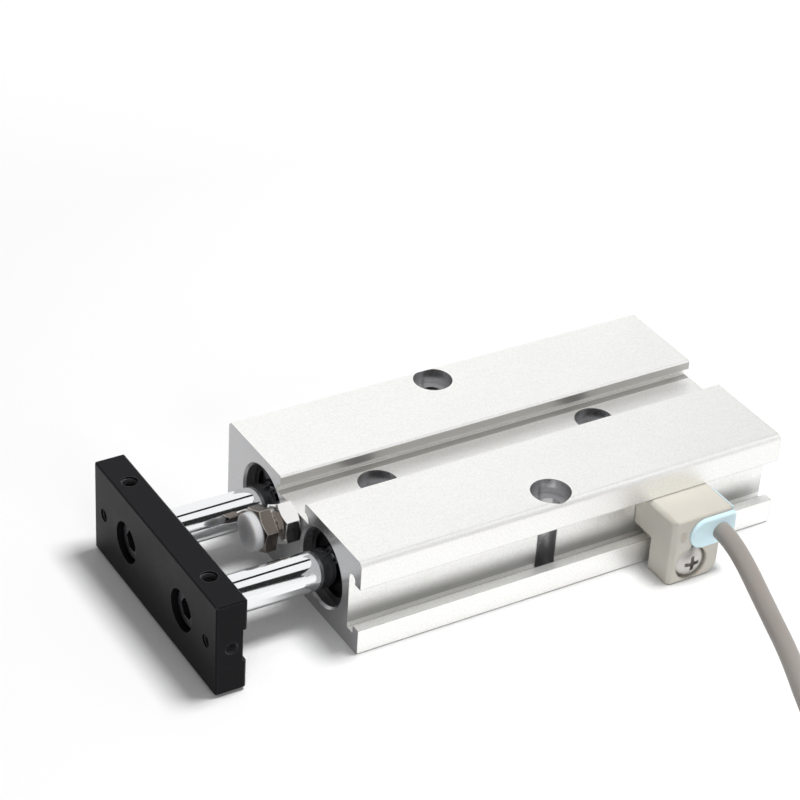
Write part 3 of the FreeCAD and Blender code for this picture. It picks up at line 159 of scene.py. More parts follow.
# %% One spline through all of them
def nurbs_cord(name, points, diameter):
    """A round cord: an open NURBS spline of order 3 that starts and ends on its outer points.  The
    thickness is the bevel's depth times each point's radius.  That radius also widens the box that
    Blender gives for the curve, so the depth is 1 and the radius is the cord's own."""
    curve = bpy.data.curves.new(name, "CURVE")
    curve.dimensions = "3D"
    curve.bevel_depth = 1.0
    curve.bevel_resolution = 6
    curve.resolution_u = 6
    curve.use_fill_caps = True
    spline = curve.splines.new("NURBS")
    spline.points.add(len(points) - 1)
    spline.points.foreach_set("co", np.column_stack([points, np.ones(len(points))]).ravel())
    spline.points.foreach_set("radius", np.full(len(points), diameter / 2))
    spline.order_u = 3
    spline.use_endpoint_u = True
    cord = bpy.data.objects.new(name, curve)
    bpy.context.collection.objects.link(cord)
    return cord


cable = nurbs_cord("cable_skin", cable_points, CABLE_DIAMETER)
cable.visible_shadow = False      # its shadow is left off, to keep the table clean
steps = np.linalg.norm(np.diff(cable_points, axis=0), axis=1)
print("cable runs added up", round(float(steps.sum()), 3), "m")
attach(cable, "sensor")
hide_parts("sensor_cable", "cable_coil")

# %% [markdown]
# ## Two helpers for materials
#
# Every finish below is a Principled BSDF with a few nodes in front of it.  Adding a node, setting
# its sockets and joining two of them are the steps that come up again and again, so they get
# short names.


# %% Material helpers
def add_node(tree, kind, **inputs):
    """Add a node and set its input sockets; an underscore in a name stands for a space."""
    node = tree.nodes.new(kind)
    for name, value in inputs.items():
        socket = node.inputs[name.replace("_", " ")]
        if isinstance(value, bpy.types.NodeSocket):
            tree.links.new(value, socket)
        else:
            socket.default_value = value
    return node


def math_node(tree, operation, first, second=0.0, clamp=False):
    """Combine two values, each a number or a socket."""
    node = tree.nodes.new("ShaderNodeMath")
    node.operation = operation
    node.use_clamp = clamp
    for socket, value in zip(node.inputs, (first, second)):
        if isinstance(value, bpy.types.NodeSocket):
            tree.links.new(value, socket)
        else:
            socket.default_value = value
    return node.outputs[0]


def mix_colour(tree, factor, first, second):
    """Blend two colours, each a colour or a socket."""
    node = tree.nodes.new("ShaderNodeMix")
    node.data_type = "RGBA"
    for socket, value in zip((node.inputs[0], node.inputs[6], node.inputs[7]),
                             (factor, first, second)):
        if isinstance(value, bpy.types.NodeSocket):
            tree.links.new(value, socket)
        elif isinstance(value, tuple):
            socket.default_value = (*value, 1)
        else:
            socket.default_value = value
    return node.outputs[2]


# %% [markdown]
# ## Shared effects as node groups
#
# Two effects come back in many finishes.  *Edge wear and highlight* finds the convex edges: the
# Bevel node gives the normal of a slightly rounded surface, and where that normal leaves the true
# one, there is an edge, tinted as wear, and in some finishes also as painted highlight.  *Fine
# grain* is the fleck of a blasted, moulded or anodised surface.  Each is a group, built once, and
# every finish that uses it sets its own values.


# %% Start a group
def new_group(name, inputs, outputs):
    """An empty shader group with number inputs (name, default) and outputs (name, type)."""
    group = bpy.data.node_groups.new(name, "ShaderNodeTree")
    for label, default in inputs:
        socket = group.interface.new_socket(label, in_out="INPUT", socket_type="NodeSocketFloat")
        socket.default_value = default
    for label in outputs:
        group.interface.new_socket(label, in_out="OUTPUT", socket_type="NodeSocketFloat")
    return group, group.nodes.new("NodeGroupInput"), group.nodes.new("NodeGroupOutput")


# %% Edge wear
LEAST_TURN = 0.04       # how far the normal must turn before it counts as an edge
EVEN_WEAR = 0.4         # the part of the wear that the noise leaves alone


def make_edge_group():
    """Mask = clamp(gain * (1 - rounded normal . true normal - least turn) * (noise + even))."""
    group, given, result = new_group("edge_wear_and_highlight", [("Width", 0.3 * MM), ("Gain", 6.0)], ["Mask"])
    rounded = add_node(group, "ShaderNodeBevel", Radius=given.outputs["Width"])
    rounded.samples = 6
    geometry = group.nodes.new("ShaderNodeNewGeometry")
    product = group.nodes.new("ShaderNodeVectorMath")
    product.operation = "DOT_PRODUCT"
    group.links.new(rounded.outputs[0], product.inputs[0])
    group.links.new(geometry.outputs["Normal"], product.inputs[1])
    spread = math_node(group, "SUBTRACT", 1.0, product.outputs["Value"])
    place = group.nodes.new("ShaderNodeTexCoord")
    patches = add_node(group, "ShaderNodeTexNoise", Vector=place.outputs["Object"],
                       Scale=900.0, Detail=3.0)
    uneven = math_node(group, "ADD", patches.outputs[0], EVEN_WEAR)
    spread = math_node(group, "MAXIMUM", math_node(group, "SUBTRACT", spread, LEAST_TURN), 0.0)
    strength = math_node(group, "MULTIPLY", math_node(group, "MULTIPLY", spread, uneven),
                         given.outputs["Gain"], clamp=True)
    group.links.new(strength, result.inputs["Mask"])
    return group


# %% Fine grain
CLOUD_WIDTH = 30.0      # how many times wider the cloud is than the fleck


def make_grain_group():
    """Fleck: noise at the given scale, stretched about its middle.  Cloud: the same, but many
    times wider, for the slow change of tone over a surface."""
    group, given, result = new_group("fine_grain", [("Scale", 4000.0), ("Contrast", 2.0)],
                                     ["Fleck", "Cloud"])
    place = group.nodes.new("ShaderNodeTexCoord")
    fleck = add_node(group, "ShaderNodeTexNoise", Vector=place.outputs["Object"],
                     Scale=given.outputs["Scale"], Detail=2.0)
    wide = math_node(group, "DIVIDE", given.outputs["Scale"], CLOUD_WIDTH)
    cloud = add_node(group, "ShaderNodeTexNoise", Vector=place.outputs["Object"],
                     Scale=wide, Detail=3.0)
    for noise, name in ((fleck, "Fleck"), (cloud, "Cloud")):
        centred = math_node(group, "SUBTRACT", noise.outputs[0], 0.5)
        stretched = math_node(group, "MULTIPLY", centred, given.outputs["Contrast"])
        group.links.new(math_node(group, "ADD", stretched, 0.5, clamp=True), result.inputs[name])
    return group


EDGE_WEAR_AND_HIGHLIGHT = make_edge_group()
FINE_GRAIN = make_grain_group()
print("groups", [group.name for group in bpy.data.node_groups])


# %% Place a group in a material
def use_group(tree, group, **inputs):
    """Add a group node with its own values, and return its outputs."""
    node = tree.nodes.new("ShaderNodeGroup")
    node.node_tree = group
    for name, value in inputs.items():
        node.inputs[name].default_value = value
    return node.outputs


def new_finish(name, **settings):
    """A material with some of its shader's plain values set, its node tree and the shader."""
    material = bpy.data.materials.new(name)
    material.use_nodes = True
    tree = material.node_tree
    shader = tree.nodes["Principled BSDF"]
    for label, value in settings.items():
        shader.inputs[label.replace("_", " ")].default_value = value
    return material, tree, shader


def add_bump(tree, shader, height, strength, distance):
    """Let a height move the surface's normal, and return the Bump node."""
    bump = add_node(tree, "ShaderNodeBump", Strength=strength, Distance=distance, Height=height)
    tree.links.new(bump.outputs["Normal"], shader.inputs["Normal"])
    return bump


def dress(material, *names):
    """Give a finish to every node whose name starts with one of the names."""
    dressed = [node for node_name, node in NODES.items() if node_name.startswith(names)]
    for node in dressed:
        for slot in node.material_slots:
            slot.material = material
    print(material.name, "on", len(dressed), "pieces")


# %% [markdown]
# ## The body: blasted and anodised aluminium
#
# The extrusion is drawn, blasted with fine beads and anodised clear.  Its skin is nearly white,
# with a sparse warm fleck, and it scatters part of the light, so the finish lies between a metal
# and a white solid.  The end faces, the holes and the bores were machined afterwards: there the
# metal is bare and greyer.  The Y direction of the true normal tells the end faces apart, and the
# distance from a hole's axis tells its wall.  Two places of the drawn skin look darker on the
# real object: the foot of the wall in the sensor's slot, and the channel's floor and wall under
# its lip.  Here each gets painted shade, a darker tone of its own, set by its place.  Why isn't
# known.  Here each gets a darker tone of its own, set by its place.

# %% Where the tools cut
BORE_HEIGHT = 10.8 * MM
BORES_ASIDE = 12 * MM
SLAB_HOLES_ASIDE = 22.5 * MM
CHANNEL_HOLES_ALONG = 26 * MM
PORTS_MIDDLE = 4.1 * MM
PORTS_ALONG = 35.7 * MM
PORTS_SIDE = -19 * MM           # the ports are cut further towards -X than this
SLAB_HEADS_FOOT = 16 * MM       # the counterbores in the slabs lie above this height
CHANNEL_HEADS_FOOT = 14 * MM    # and those in the channel above this one
# Each radius is a little larger than its hole's, so that the wall lies inside it.
SHAFT_REACH, HEAD_REACH, BORE_REACH, PORT_REACH = 2.4 * MM, 4.15 * MM, 8.6 * MM, 2.6 * MM


def near_axis(tree, first, second, radius):
    """1 within a radius of the axis on which both distances are nought."""
    square = math_node(tree, "ADD", math_node(tree, "MULTIPLY", first, first),
                       math_node(tree, "MULTIPLY", second, second))
    return math_node(tree, "LESS_THAN", square, radius * radius)


def machined_mask(tree, spot, facing_y):
    """1 on the end faces, the mounting holes, their counterbores, the bores and the ports."""
    aside = math_node(tree, "ABSOLUTE", spot["X"])
    along = math_node(tree, "ABSOLUTE", spot["Y"])
    rise = math_node(tree, "SUBTRACT", spot["Z"], BORE_HEIGHT)
    from_slab_hole = math_node(tree, "SUBTRACT", aside, SLAB_HOLES_ASIDE)
    from_channel_hole = math_node(tree, "SUBTRACT", along, CHANNEL_HOLES_ALONG)
    from_bore = math_node(tree, "SUBTRACT", aside, BORES_ASIDE)
    from_middle = math_node(tree, "ABSOLUTE", math_node(tree, "SUBTRACT", spot["Y"], PORTS_MIDDLE))
    from_port = math_node(tree, "SUBTRACT", from_middle, PORTS_ALONG)
    in_slab = math_node(tree, "GREATER_THAN", spot["Z"], SLAB_HEADS_FOOT)
    in_channel = math_node(tree, "GREATER_THAN", spot["Z"], CHANNEL_HEADS_FOOT)
    port_side = math_node(tree, "LESS_THAN", spot["X"], PORTS_SIDE)
    cuts = [
        near_axis(tree, from_slab_hole, spot["Y"], SHAFT_REACH),
        near_axis(tree, spot["X"], from_channel_hole, SHAFT_REACH),
        near_axis(tree, from_bore, rise, BORE_REACH),
        math_node(tree, "MULTIPLY", in_slab,
                  near_axis(tree, from_slab_hole, spot["Y"], HEAD_REACH)),
        math_node(tree, "MULTIPLY", in_channel,
                  near_axis(tree, spot["X"], from_channel_hole, HEAD_REACH)),
        math_node(tree, "MULTIPLY", port_side, near_axis(tree, from_port, rise, PORT_REACH)),
    ]
    mask = math_node(tree, "GREATER_THAN", math_node(tree, "ABSOLUTE", facing_y), 0.95)
    for cut in cuts:
        mask = math_node(tree, "MAXIMUM", mask, cut)
    print("machined places", len(cuts), "and the end faces")
    return mask


# %% Where the drawn skin is darker
SLOT_WALL_SIDE = 25 * MM            # the slot's wall lies further in than this
SLOT_WALL_FOOT = 5 * MM
SHADE_START, SHADE_FALL = 9.6 * MM, 3.6 * MM
LIP_FACE = (-5.5 * MM, -4.5 * MM)   # the channel's lip, from side to side
LIP_HEIGHT = (19.6 * MM, 22 * MM)   # above the light line at its lower edge
STRIP = (-6.15 * MM, -4.5 * MM)     # the strip of the channel's floor under the lip
STRIP_HEIGHT = (17 * MM, 17.8 * MM)
UPRIGHT = 0.9                       # least X direction of a normal on an upright face


def between(tree, value, low, high):
    """1 where a value lies between two others."""
    return math_node(tree, "MULTIPLY", math_node(tree, "GREATER_THAN", value, low),
                     math_node(tree, "LESS_THAN", value, high))


def slot_foot_painted_shade(tree, spot, facing_x):
    """Rises from 0 to 1 down the lowest few millimetres of the sensor slot's upright wall.  It
    places painted shade, darker towards the foot of the wall.  The real wall darkens there,
    perhaps from a stain, or because it mirrors the slot."""
    wall = math_node(tree, "MULTIPLY", math_node(tree, "GREATER_THAN", facing_x, UPRIGHT),
                     math_node(tree, "LESS_THAN", spot["X"], SLOT_WALL_SIDE))
    above = math_node(tree, "GREATER_THAN", spot["Z"], SLOT_WALL_FOOT)
    depth = math_node(tree, "DIVIDE", math_node(tree, "SUBTRACT", SHADE_START, spot["Z"]),
                      SHADE_FALL, clamp=True)
    return math_node(tree, "MULTIPLY", math_node(tree, "MULTIPLY", wall, above), depth)


def channel_painted_shade(tree, spot, facing_x):
    """1 on the upright face of the channel's lip that looks towards +X, and on the strip of floor
    under that lip.  It places painted shade on the lip's face and the lip's painted shadow on the
    strip.  Both look darker on the real object, perhaps because they are burnished."""
    above = between(tree, spot["Z"], *LIP_HEIGHT)
    lip = math_node(tree, "MULTIPLY", between(tree, spot["X"], *LIP_FACE),
                    math_node(tree, "MULTIPLY", above,
                              math_node(tree, "GREATER_THAN", facing_x, UPRIGHT)))
    floor = math_node(tree, "MULTIPLY", between(tree, spot["X"], *STRIP),
                      between(tree, spot["Z"], *STRIP_HEIGHT))
    return math_node(tree, "MAXIMUM", lip, floor)


# %% Anodised body
def make_body_finish():
    """Flecked white skin with painted shade in the slot and the channel, grey where it is
    machined, and worn along its edges; a machined face is the smoother one."""
    material, tree, shader = new_finish("anodised_body", Metallic=0.85)
    place = tree.nodes.new("ShaderNodeTexCoord").outputs["Object"]
    spot = add_node(tree, "ShaderNodeSeparateXYZ", Vector=place).outputs
    normal = tree.nodes.new("ShaderNodeNewGeometry").outputs["Normal"]
    facing = add_node(tree, "ShaderNodeSeparateXYZ", Vector=normal).outputs
    grain = use_group(tree, FINE_GRAIN, Scale=2300.0, Contrast=3.2)
    wear = use_group(tree, EDGE_WEAR_AND_HIGHLIGHT, Width=0.22 * MM, Gain=9.0)
    machined = machined_mask(tree, spot, facing["Y"])
    skin = mix_colour(tree, grain["Fleck"], (0.92, 0.915, 0.885), (1.0, 1.0, 0.995))
    # Painted shade: the slot's wall darkens towards its foot.
    skin = mix_colour(tree, slot_foot_painted_shade(tree, spot, facing["X"]), skin, (0.62, 0.62, 0.61))
    # Painted shade on the channel's lip, and the lip's painted shadow on the floor strip under it.
    shade = math_node(tree, "MULTIPLY", channel_painted_shade(tree, spot, facing["X"]), 0.8)
    skin = mix_colour(tree, shade, skin, (0.38, 0.37, 0.35))
    colour = mix_colour(tree, machined, skin, (0.50, 0.50, 0.51))
    colour = mix_colour(tree, wear["Mask"], colour, (0.34, 0.33, 0.31))
    tree.links.new(colour, shader.inputs["Base Color"])
    rough = math_node(tree, "ADD", math_node(tree, "MULTIPLY", grain["Cloud"], 0.06), 0.40)
    rough = math_node(tree, "SUBTRACT", rough, math_node(tree, "MULTIPLY", machined, 0.17))
    tree.links.new(rough, shader.inputs["Roughness"])
    add_bump(tree, shader, grain["Fleck"], 0.15, 0.04 * MM)
    return material


BODY_SILVER = make_body_finish()
dress(BODY_SILVER, "body_block")

# %% [markdown]
# ## Chrome, nickel and black oxide
#
# The rods are ground and hard chromed: a mirror with hardly any grain.  The stop bolt is plated
# in a dark warm nickel, its lock nut in a bright one, and the clamp screw's plating is duller.
# The plate screws and the retaining rings are black.  Inside the bores, the pistons are turned
# aluminium and the bushes sintered bronze.


# %% Plated metals
def make_metal_finish(name, colour, roughness, worn, grain_scale, grain_amount, gain=4.0,
                      edge=0.0):
    """A metal whose roughness and tone wander by grain_amount, lighter along its edges: wear, and
    at a high gain also painted highlight.  Where an edge radius is given, the Bevel node bends the
    normal there, so that the edge catches light."""
    material, tree, shader = new_finish(name, Metallic=1.0)
    grain = use_group(tree, FINE_GRAIN, Scale=grain_scale, Contrast=1.6)
    wear = use_group(tree, EDGE_WEAR_AND_HIGHLIGHT, Width=0.15 * MM, Gain=gain)
    darker = tuple(channel * (1 - grain_amount) for channel in colour)
    tone = mix_colour(tree, grain["Cloud"], darker, colour)
    tree.links.new(mix_colour(tree, wear["Mask"], tone, worn), shader.inputs["Base Color"])
    spread = math_node(tree, "MULTIPLY", grain["Fleck"], grain_amount)
    tree.links.new(math_node(tree, "ADD", spread, roughness), shader.inputs["Roughness"])
    if edge:
        rounded = add_node(tree, "ShaderNodeBevel", Radius=edge)
        tree.links.new(rounded.outputs[0], shader.inputs["Normal"])
    return material


dress(make_metal_finish("hard_chrome", (0.90, 0.91, 0.92), 0.05, (0.95, 0.95, 0.95), 3000, 0.03),
      "rod_left", "rod_right")
# The warm nickel's bright edges, at gain 20, are partly wear and partly painted highlight.
dress(make_metal_finish("warm_nickel", (0.22, 0.19, 0.17), 0.14, (1.0, 0.98, 0.92), 2500, 0.10,
                        gain=20.0, edge=0.3 * MM), "stop_bolt", "piston_nut")
dress(make_metal_finish("bright_nickel", (0.90, 0.89, 0.88), 0.12, (0.98, 0.98, 0.96), 2500, 0.08,
                        edge=0.2 * MM), "stop_lock_nut", "clamp_nut")
dress(make_metal_finish("dull_nickel", (0.60, 0.58, 0.56), 0.30, (0.95, 0.94, 0.92), 2500, 0.12,
                        edge=0.2 * MM), "clamp_screw")
dress(make_metal_finish("black_oxide", (0.055, 0.055, 0.06), 0.34, (0.22, 0.22, 0.22), 2500, 0.12),
      "plate_screw", "front_retaining_ring", "rear_retaining_ring")
dress(make_metal_finish("turned_aluminium", (0.75, 0.76, 0.78), 0.28, (0.9, 0.9, 0.9), 1500, 0.10),
      "piston_left", "piston_right")
dress(make_metal_finish("sintered_bronze", (0.60, 0.43, 0.22), 0.42, (0.75, 0.6, 0.36), 5000,
                        0.15), "guide_bush")


# %% [markdown]
# ## The plate and the covers: satin black anodised aluminium
#
# The plate is milled, blasted lightly and anodised black, and so are the covers in the bores.
# Black anodising is a thin dyed oxide: almost black, with a weak satin shine from the oxide on
# top, hence the low index of refraction.  Its edges are lighter: partly a line of bare metal where
# an edge has been knocked, and partly painted highlight.

# %% Black anodising
def make_black_finish(name, colour, roughness, gain):
    """A dyed skin flecked with a slightly lighter tone, and lighter along its edges by gain,
    as wear and as painted highlight.
    """
    material, tree, shader = new_finish(name, Metallic=0.0, IOR=1.14)
    grain = use_group(tree, FINE_GRAIN, Scale=4200.0, Contrast=2.0)
    wear = use_group(tree, EDGE_WEAR_AND_HIGHLIGHT, Width=0.2 * MM, Gain=gain)
    lighter = tuple(channel * 1.7 for channel in colour)
    tone = mix_colour(tree, grain["Fleck"], colour, lighter)
    tree.links.new(mix_colour(tree, wear["Mask"], tone, (0.28, 0.28, 0.29)),
                   shader.inputs["Base Color"])
    spread = math_node(tree, "MULTIPLY", grain["Cloud"], 0.12)
    tree.links.new(math_node(tree, "ADD", spread, roughness), shader.inputs["Roughness"])
    add_bump(tree, shader, grain["Fleck"], 0.2, 0.02 * MM)
    return material


# The plate's lighter edges at this gain are partly knocked bare metal, partly painted highlight.
PLATE_BLACK = make_black_finish("black_anodised_plate", (0.007, 0.007, 0.008), 0.26, 1.6)
dress(PLATE_BLACK, "end_plate")
dress(make_black_finish("black_anodised_cover", (0.010, 0.010, 0.011), 0.38, 1.5),
      "rod_cover", "rear_cover")


# %% [markdown]
# ## Moulded parts
#
# The sensor's case is a filled nylon, warm ivory and faintly mottled.  The boot, the cable and
# the stop bolt's pad are softer: a light blue elastomer, a warm grey sheath and a clear grey
# polyurethane.  These four let a little light in, so they get some subsurface scattering, to a
# depth of a millimetre or two at most.  The seals, bumpers and other small parts are plain.

# %% Plastics and rubbers
def make_moulded_finish(name, colour, roughness, mottle, depth=0.0, edge=0.0):
    """A plastic whose tone wanders by mottle; depth is how far light strays inside, in metres, and
    edge is the radius to which its edges look rounded."""
    material, tree, shader = new_finish(name, Metallic=0.0)
    if depth:
        shader.inputs["Subsurface Weight"].default_value = 0.35
        shader.inputs["Subsurface Radius"].default_value = (1.0, 0.7, 0.5)
        shader.inputs["Subsurface Scale"].default_value = depth
    grain = use_group(tree, FINE_GRAIN, Scale=2500.0, Contrast=1.8)
    low = tuple(channel * (1 - mottle) for channel in colour)
    high = tuple(min(1.0, channel * (1 + mottle)) for channel in colour)
    tree.links.new(mix_colour(tree, grain["Cloud"], low, high), shader.inputs["Base Color"])
    spread = math_node(tree, "MULTIPLY", grain["Fleck"], 0.12)
    tree.links.new(math_node(tree, "ADD", spread, roughness), shader.inputs["Roughness"])
    grainy = add_bump(tree, shader, grain["Fleck"], 0.12, 0.03 * MM)
    if edge:
        rounded = add_node(tree, "ShaderNodeBevel", Radius=edge)
        tree.links.new(rounded.outputs[0], grainy.inputs["Normal"])
    return material


dress(make_moulded_finish("ivory_case", (0.60, 0.575, 0.515), 0.46, 0.05, depth=0.6 * MM,
                          edge=0.9 * MM), "sensor_housing")
dress(make_moulded_finish("blue_boot", (0.70, 0.90, 1.0), 0.34, 0.03, depth=0.6 * MM,
                          edge=0.7 * MM), "cable_boot")
dress(make_moulded_finish("smoked_window", (0.50, 0.45, 0.38), 0.22, 0.03), "lamp_window")
dress(make_moulded_finish("soft_pad", (0.60, 0.60, 0.61), 0.30, 0.03, depth=2 * MM,
                          edge=1.2 * MM), "stop_pad")
dress(make_moulded_finish("green_board", (0.03, 0.22, 0.08), 0.35, 0.1), "sensor_board")
dress(make_moulded_finish("black_strap", (0.03, 0.03, 0.03), 0.42, 0.1), "cable_tie")
dress(make_moulded_finish("brown_wire", (0.22, 0.11, 0.06), 0.42, 0.1), "cable_leads")
dress(make_moulded_finish("seal_rubber", (0.02, 0.02, 0.02), 0.5, 0.1), "rod_seal", "cover_o_ring",
      "rear_o_ring", "piston_seal")
dress(make_moulded_finish("bumper_rubber", (0.08, 0.20, 0.10), 0.5, 0.1), "front_bumper",
      "rear_bumper")
dress(make_moulded_finish("wear_plastic", (0.50, 0.38, 0.22), 0.5, 0.08), "wear_ring")
dress(make_moulded_finish("magnet_plastic", (0.05, 0.05, 0.055), 0.5, 0.1), "piston_magnet")
cable.data.materials.append(
    make_moulded_finish("grey_sheath", (0.31, 0.285, 0.265), 0.42, 0.03, depth=0.8 * MM))


# %% [markdown]
# ## Cut threads
#
# The plate is tapped in three directions, and the two air ports are tapped as well.  The plain
# model leaves these holes smooth.  A Screw modifier could turn a profile into a thread, but it
# works on one axis at a time and leaves the ends open.  Here a ridge is worked out in one go:
# a small triangle is carried round the axis and along it, each triangle is joined to the next
# with quads, and both ends are closed.

# %% One thread
RING_STEPS = 24         # triangles in a turn


def thread_ridge(name, mouth, along, radius, crest, pitch, length):
    """Point = mouth + outwards * reach + along * (travel + ahead).  Outwards turns with the step,
    and travel grows by a pitch a turn.  The triangle's three corners differ in reach and ahead:
    its feet are on the hole's own radius, and its crest on a smaller one, between them."""
    along = np.array(along, float)
    side = np.array((0.0, 0.0, 1.0)) if abs(along[2]) < 0.5 else np.array((1.0, 0.0, 0.0))
    other = np.cross(along, side)
    count = int(length / pitch * RING_STEPS)
    angle = np.arange(count + 1) * 2 * math.pi / RING_STEPS
    outwards = np.cos(angle)[:, None] * side + np.sin(angle)[:, None] * other
    travel = np.arange(count + 1)[:, None] * pitch / RING_STEPS
    rows = [np.array(mouth) + outwards * reach + along * (travel + ahead)
            for reach, ahead in ((radius, 0), (crest, pitch * 0.4), (radius, pitch * 0.8))]
    points = np.stack(rows, axis=1).reshape(-1, 3)
    row, corner = np.arange(count)[:, None] * 3, np.arange(3)
    after = (corner + 1) % 3
    faces = np.stack([row + corner, row + after, row + after + 3, row + corner + 3], axis=-1)
    last = count * 3
    mesh = bpy.data.meshes.new(name)
    mesh.from_pydata(points.tolist(), [],
                     faces.reshape(-1, 4).tolist() + [[2, 1, 0], [last, last + 1, last + 2]])
    ridge = bpy.data.objects.new(name, mesh)
    bpy.context.collection.objects.link(ridge)
    return ridge


# %% All threads
# The hole's radius, then the crest's, the pitch and the length, in millimetres.
FRONT_TAP = (1.4, 1.22, 0.5, 5.6)
TOP_TAP = (1.7, 1.45, 0.7, 7.0)
END_TAP = (1.3, 1.12, 0.5, 5.2)
PORT_TAP = (2.5, 2.2, 0.8, 4.0)
FRONT_TAP_INSET, TOP_TAP_INSET = 4.3 * MM, 9.4 * MM     # from the plate's end to the hole
MOUTH = 0.1 * MM                                        # smooth before the thread starts

plate_low, plate_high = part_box("end_plate")
middle = (plate_low + plate_high) / 2
plate_threads, port_threads = [], []                    # name, mouth, direction, tap
for side, sign, end in (("left", -1, plate_low.x), ("right", 1, plate_high.x)):
    plate_threads += [
        (f"plate_front_thread_{side}",
         (end - sign * FRONT_TAP_INSET, plate_low.y + MOUTH, middle.z), (0, 1, 0), FRONT_TAP),
        (f"plate_top_thread_{side}",
         (end - sign * TOP_TAP_INSET, middle.y, plate_high.z - MOUTH), (0, 0, -1), TOP_TAP),
        (f"plate_end_thread_{side}",
         (end - sign * MOUTH, middle.y, middle.z), (-sign, 0, 0), END_TAP),
    ]
for place, sign in (("front", -1), ("rear", 1)):
    mouth = (CAD_BOX[0].x + MOUTH, PORTS_MIDDLE + sign * PORTS_ALONG, BORE_HEIGHT)
    port_threads.append((f"{place}_port_thread", mouth, (1, 0, 0), PORT_TAP))

face_count = 0
for threads, finish, body, slot in ((plate_threads, PLATE_BLACK, "rod_carriage", "plate"),
                                    (port_threads, BODY_SILVER, "cylinder_body", "body")):
    for name, mouth, along, tap in threads:
        ridge = thread_ridge(name, mouth, along, *(size * MM for size in tap))
        ridge.data.materials.append(finish)
        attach(ridge, body)
        face_count += len(ridge.data.polygons)
print("threads", len(plate_threads) + len(port_threads), "with", face_count, "faces")

# %% [markdown]
# ## The studio
#
# The floor and the room are white to the camera, and to metal that mirrors them, but they send no
# more light onto the object than a pale room does.  A soft lamp high above, a little behind the
# body, makes the shadows fall to the front, and a weaker one fills in from the sensor's side.
# Chrome is only as lively as what it mirrors, so two long black cards hang out of the picture
# and draw the dark streaks on the rods.

# %% Flat square
def flat_sheet(name, width, height):
    """One face on Z = 0, centred on the origin."""
    mesh = bpy.data.meshes.new(name)
    corners = np.array([(-1, -1, 0), (1, -1, 0), (1, 1, 0), (-1, 1, 0)])
    mesh.from_pydata((corners * (width / 2, height / 2, 0)).tolist(), [], [(0, 1, 2, 3)])
    sheet = bpy.data.objects.new(name, mesh)
    bpy.context.collection.objects.link(sheet)
    return sheet


# %% Floor
FLOOR_SIZE = 6.0
GLOW_START = 0.16                   # distance from the origin at which the floor's glow grows
GLOW_LEAST, GLOW_MOST = 0.05, 0.6
MIRROR_SHARE = 0.4                  # how much of the glow a mirror sees
CORNER_REACH = 30 * MM              # how near a thing must be to close off the floor's view
OPEN_GAIN = 2.4                     # the floor darkens where less than 1/2.4 of its view is open


def make_floor():
    """A large square on Z = 0, pale and matt.  It glows to the camera, and less to a mirror, the
    more so the further it lies from the object, so that it reads as white and still takes the
    shadow.  Where the object nearly encloses it, as between the rods, painted shade darkens it."""
    floor = flat_sheet("floor", FLOOR_SIZE, FLOOR_SIZE)
    material, tree, shader = new_finish("white_floor", Roughness=0.6,
                                        Emission_Color=(1, 1, 1, 1))
    path = tree.nodes.new("ShaderNodeLightPath")
    mirrored = math_node(tree, "MAXIMUM", path.outputs["Is Glossy Ray"],
                         path.outputs["Is Transmission Ray"])
    seen = math_node(tree, "MAXIMUM", path.outputs["Is Camera Ray"],
                     math_node(tree, "MULTIPLY", mirrored, MIRROR_SHARE))
    place = tree.nodes.new("ShaderNodeTexCoord").outputs["Object"]
    reach = tree.nodes.new("ShaderNodeVectorMath")
    reach.operation = "LENGTH"
    tree.links.new(place, reach.inputs[0])
    far = math_node(tree, "SUBTRACT", reach.outputs["Value"], GLOW_START, clamp=True)
    glow = math_node(tree, "MINIMUM", math_node(tree, "ADD", far, GLOW_LEAST), GLOW_MOST)
    tree.links.new(math_node(tree, "MULTIPLY", seen, glow), shader.inputs["Emission Strength"])
    # Painted shade: the floor's colour darkens where nearby parts close off its view.
    corner = add_node(tree, "ShaderNodeAmbientOcclusion", Distance=CORNER_REACH)
    corner.samples = 4
    openness = math_node(tree, "MULTIPLY", corner.outputs["AO"], OPEN_GAIN, clamp=True)
    tree.links.new(mix_colour(tree, openness, (0.22, 0.22, 0.22), (0.88, 0.88, 0.88)),
                   shader.inputs["Base Color"])
    floor.data.materials.append(material)
    print("floor", FLOOR_SIZE, "m wide")
    return floor


make_floor()


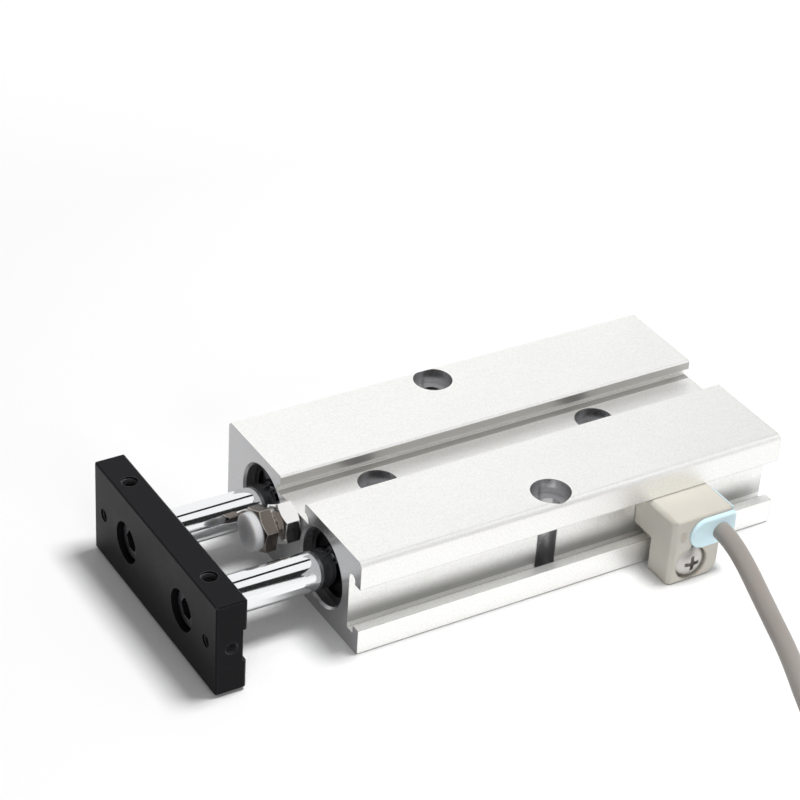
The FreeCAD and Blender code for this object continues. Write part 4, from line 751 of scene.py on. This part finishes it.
# %% World
def make_world(room_light):
    """White wherever the camera, a mirror or a clear solid looks, and a dimmer room light."""
    world = bpy.data.worlds.new("white_room")
    world.use_nodes = True
    tree = world.node_tree
    background = tree.nodes["Background"]
    path = tree.nodes.new("ShaderNodeLightPath")
    seen = math_node(tree, "MAXIMUM", path.outputs["Is Camera Ray"],
                     math_node(tree, "MAXIMUM", path.outputs["Is Glossy Ray"],
                               path.outputs["Is Transmission Ray"]))
    background.inputs["Color"].default_value = (1, 1, 1, 1)
    strength = math_node(tree, "ADD", math_node(tree, "MULTIPLY", seen, 1 - room_light),
                         room_light)
    tree.links.new(strength, background.inputs["Strength"])
    bpy.context.scene.world = world
    print("room light", room_light)


make_world(0.17)


# %% Lamps
def aim(thing, place, target):
    """Stand a lamp or a card at a place, with its -Z side towards the target."""
    back = (Vector(place) - Vector(target)).normalized()
    turn = back.to_track_quat("Z", "Y").to_matrix().to_4x4()
    thing.matrix_world = Matrix.Translation(place) @ turn


def area_lamp(name, place, size, power):
    """A square soft lamp that lights the origin, and that metal doesn't mirror."""
    data = bpy.data.lights.new(name, "AREA")
    data.shape = "SQUARE"
    data.size = size
    data.energy = power
    lamp = bpy.data.objects.new(name, data)
    lamp.visible_glossy = False
    bpy.context.collection.objects.link(lamp)
    aim(lamp, place, (0, 0, 0))
    print(name, power, "W")


area_lamp("key_lamp", (0.06, 0.23, 0.95), 0.28, 9.0)
area_lamp("side_lamp", (0.80, -0.10, 0.30), 0.4, 2.0)


# %% Black cards
CARD_WIDTH, CARD_HEIGHT = 0.16, 1.6
CARD_TARGET = (0, 0, 0.01)          # about the height of the rods


def black_card(name, place):
    """A flat black card that only mirrors see."""
    card = flat_sheet(name, CARD_WIDTH, CARD_HEIGHT)
    aim(card, place, CARD_TARGET)
    material = new_finish(name, Base_Color=(0.01, 0.01, 0.01, 1), Roughness=1.0)[0]
    card.data.materials.append(material)
    card.visible_camera = False
    card.visible_diffuse = False
    card.visible_shadow = False
    print(name, "at", place)


black_card("side_card", (0.62, 0.32, 0.22))
black_card("far_card", (-0.30, 0.45, 0.75))

# %% [markdown]
# ## The view transform
#
# The picture is shown with the Standard view, so that a colour renders about as it is written.

# %% Finish
bpy.context.scene.view_settings.view_transform = "Standard"
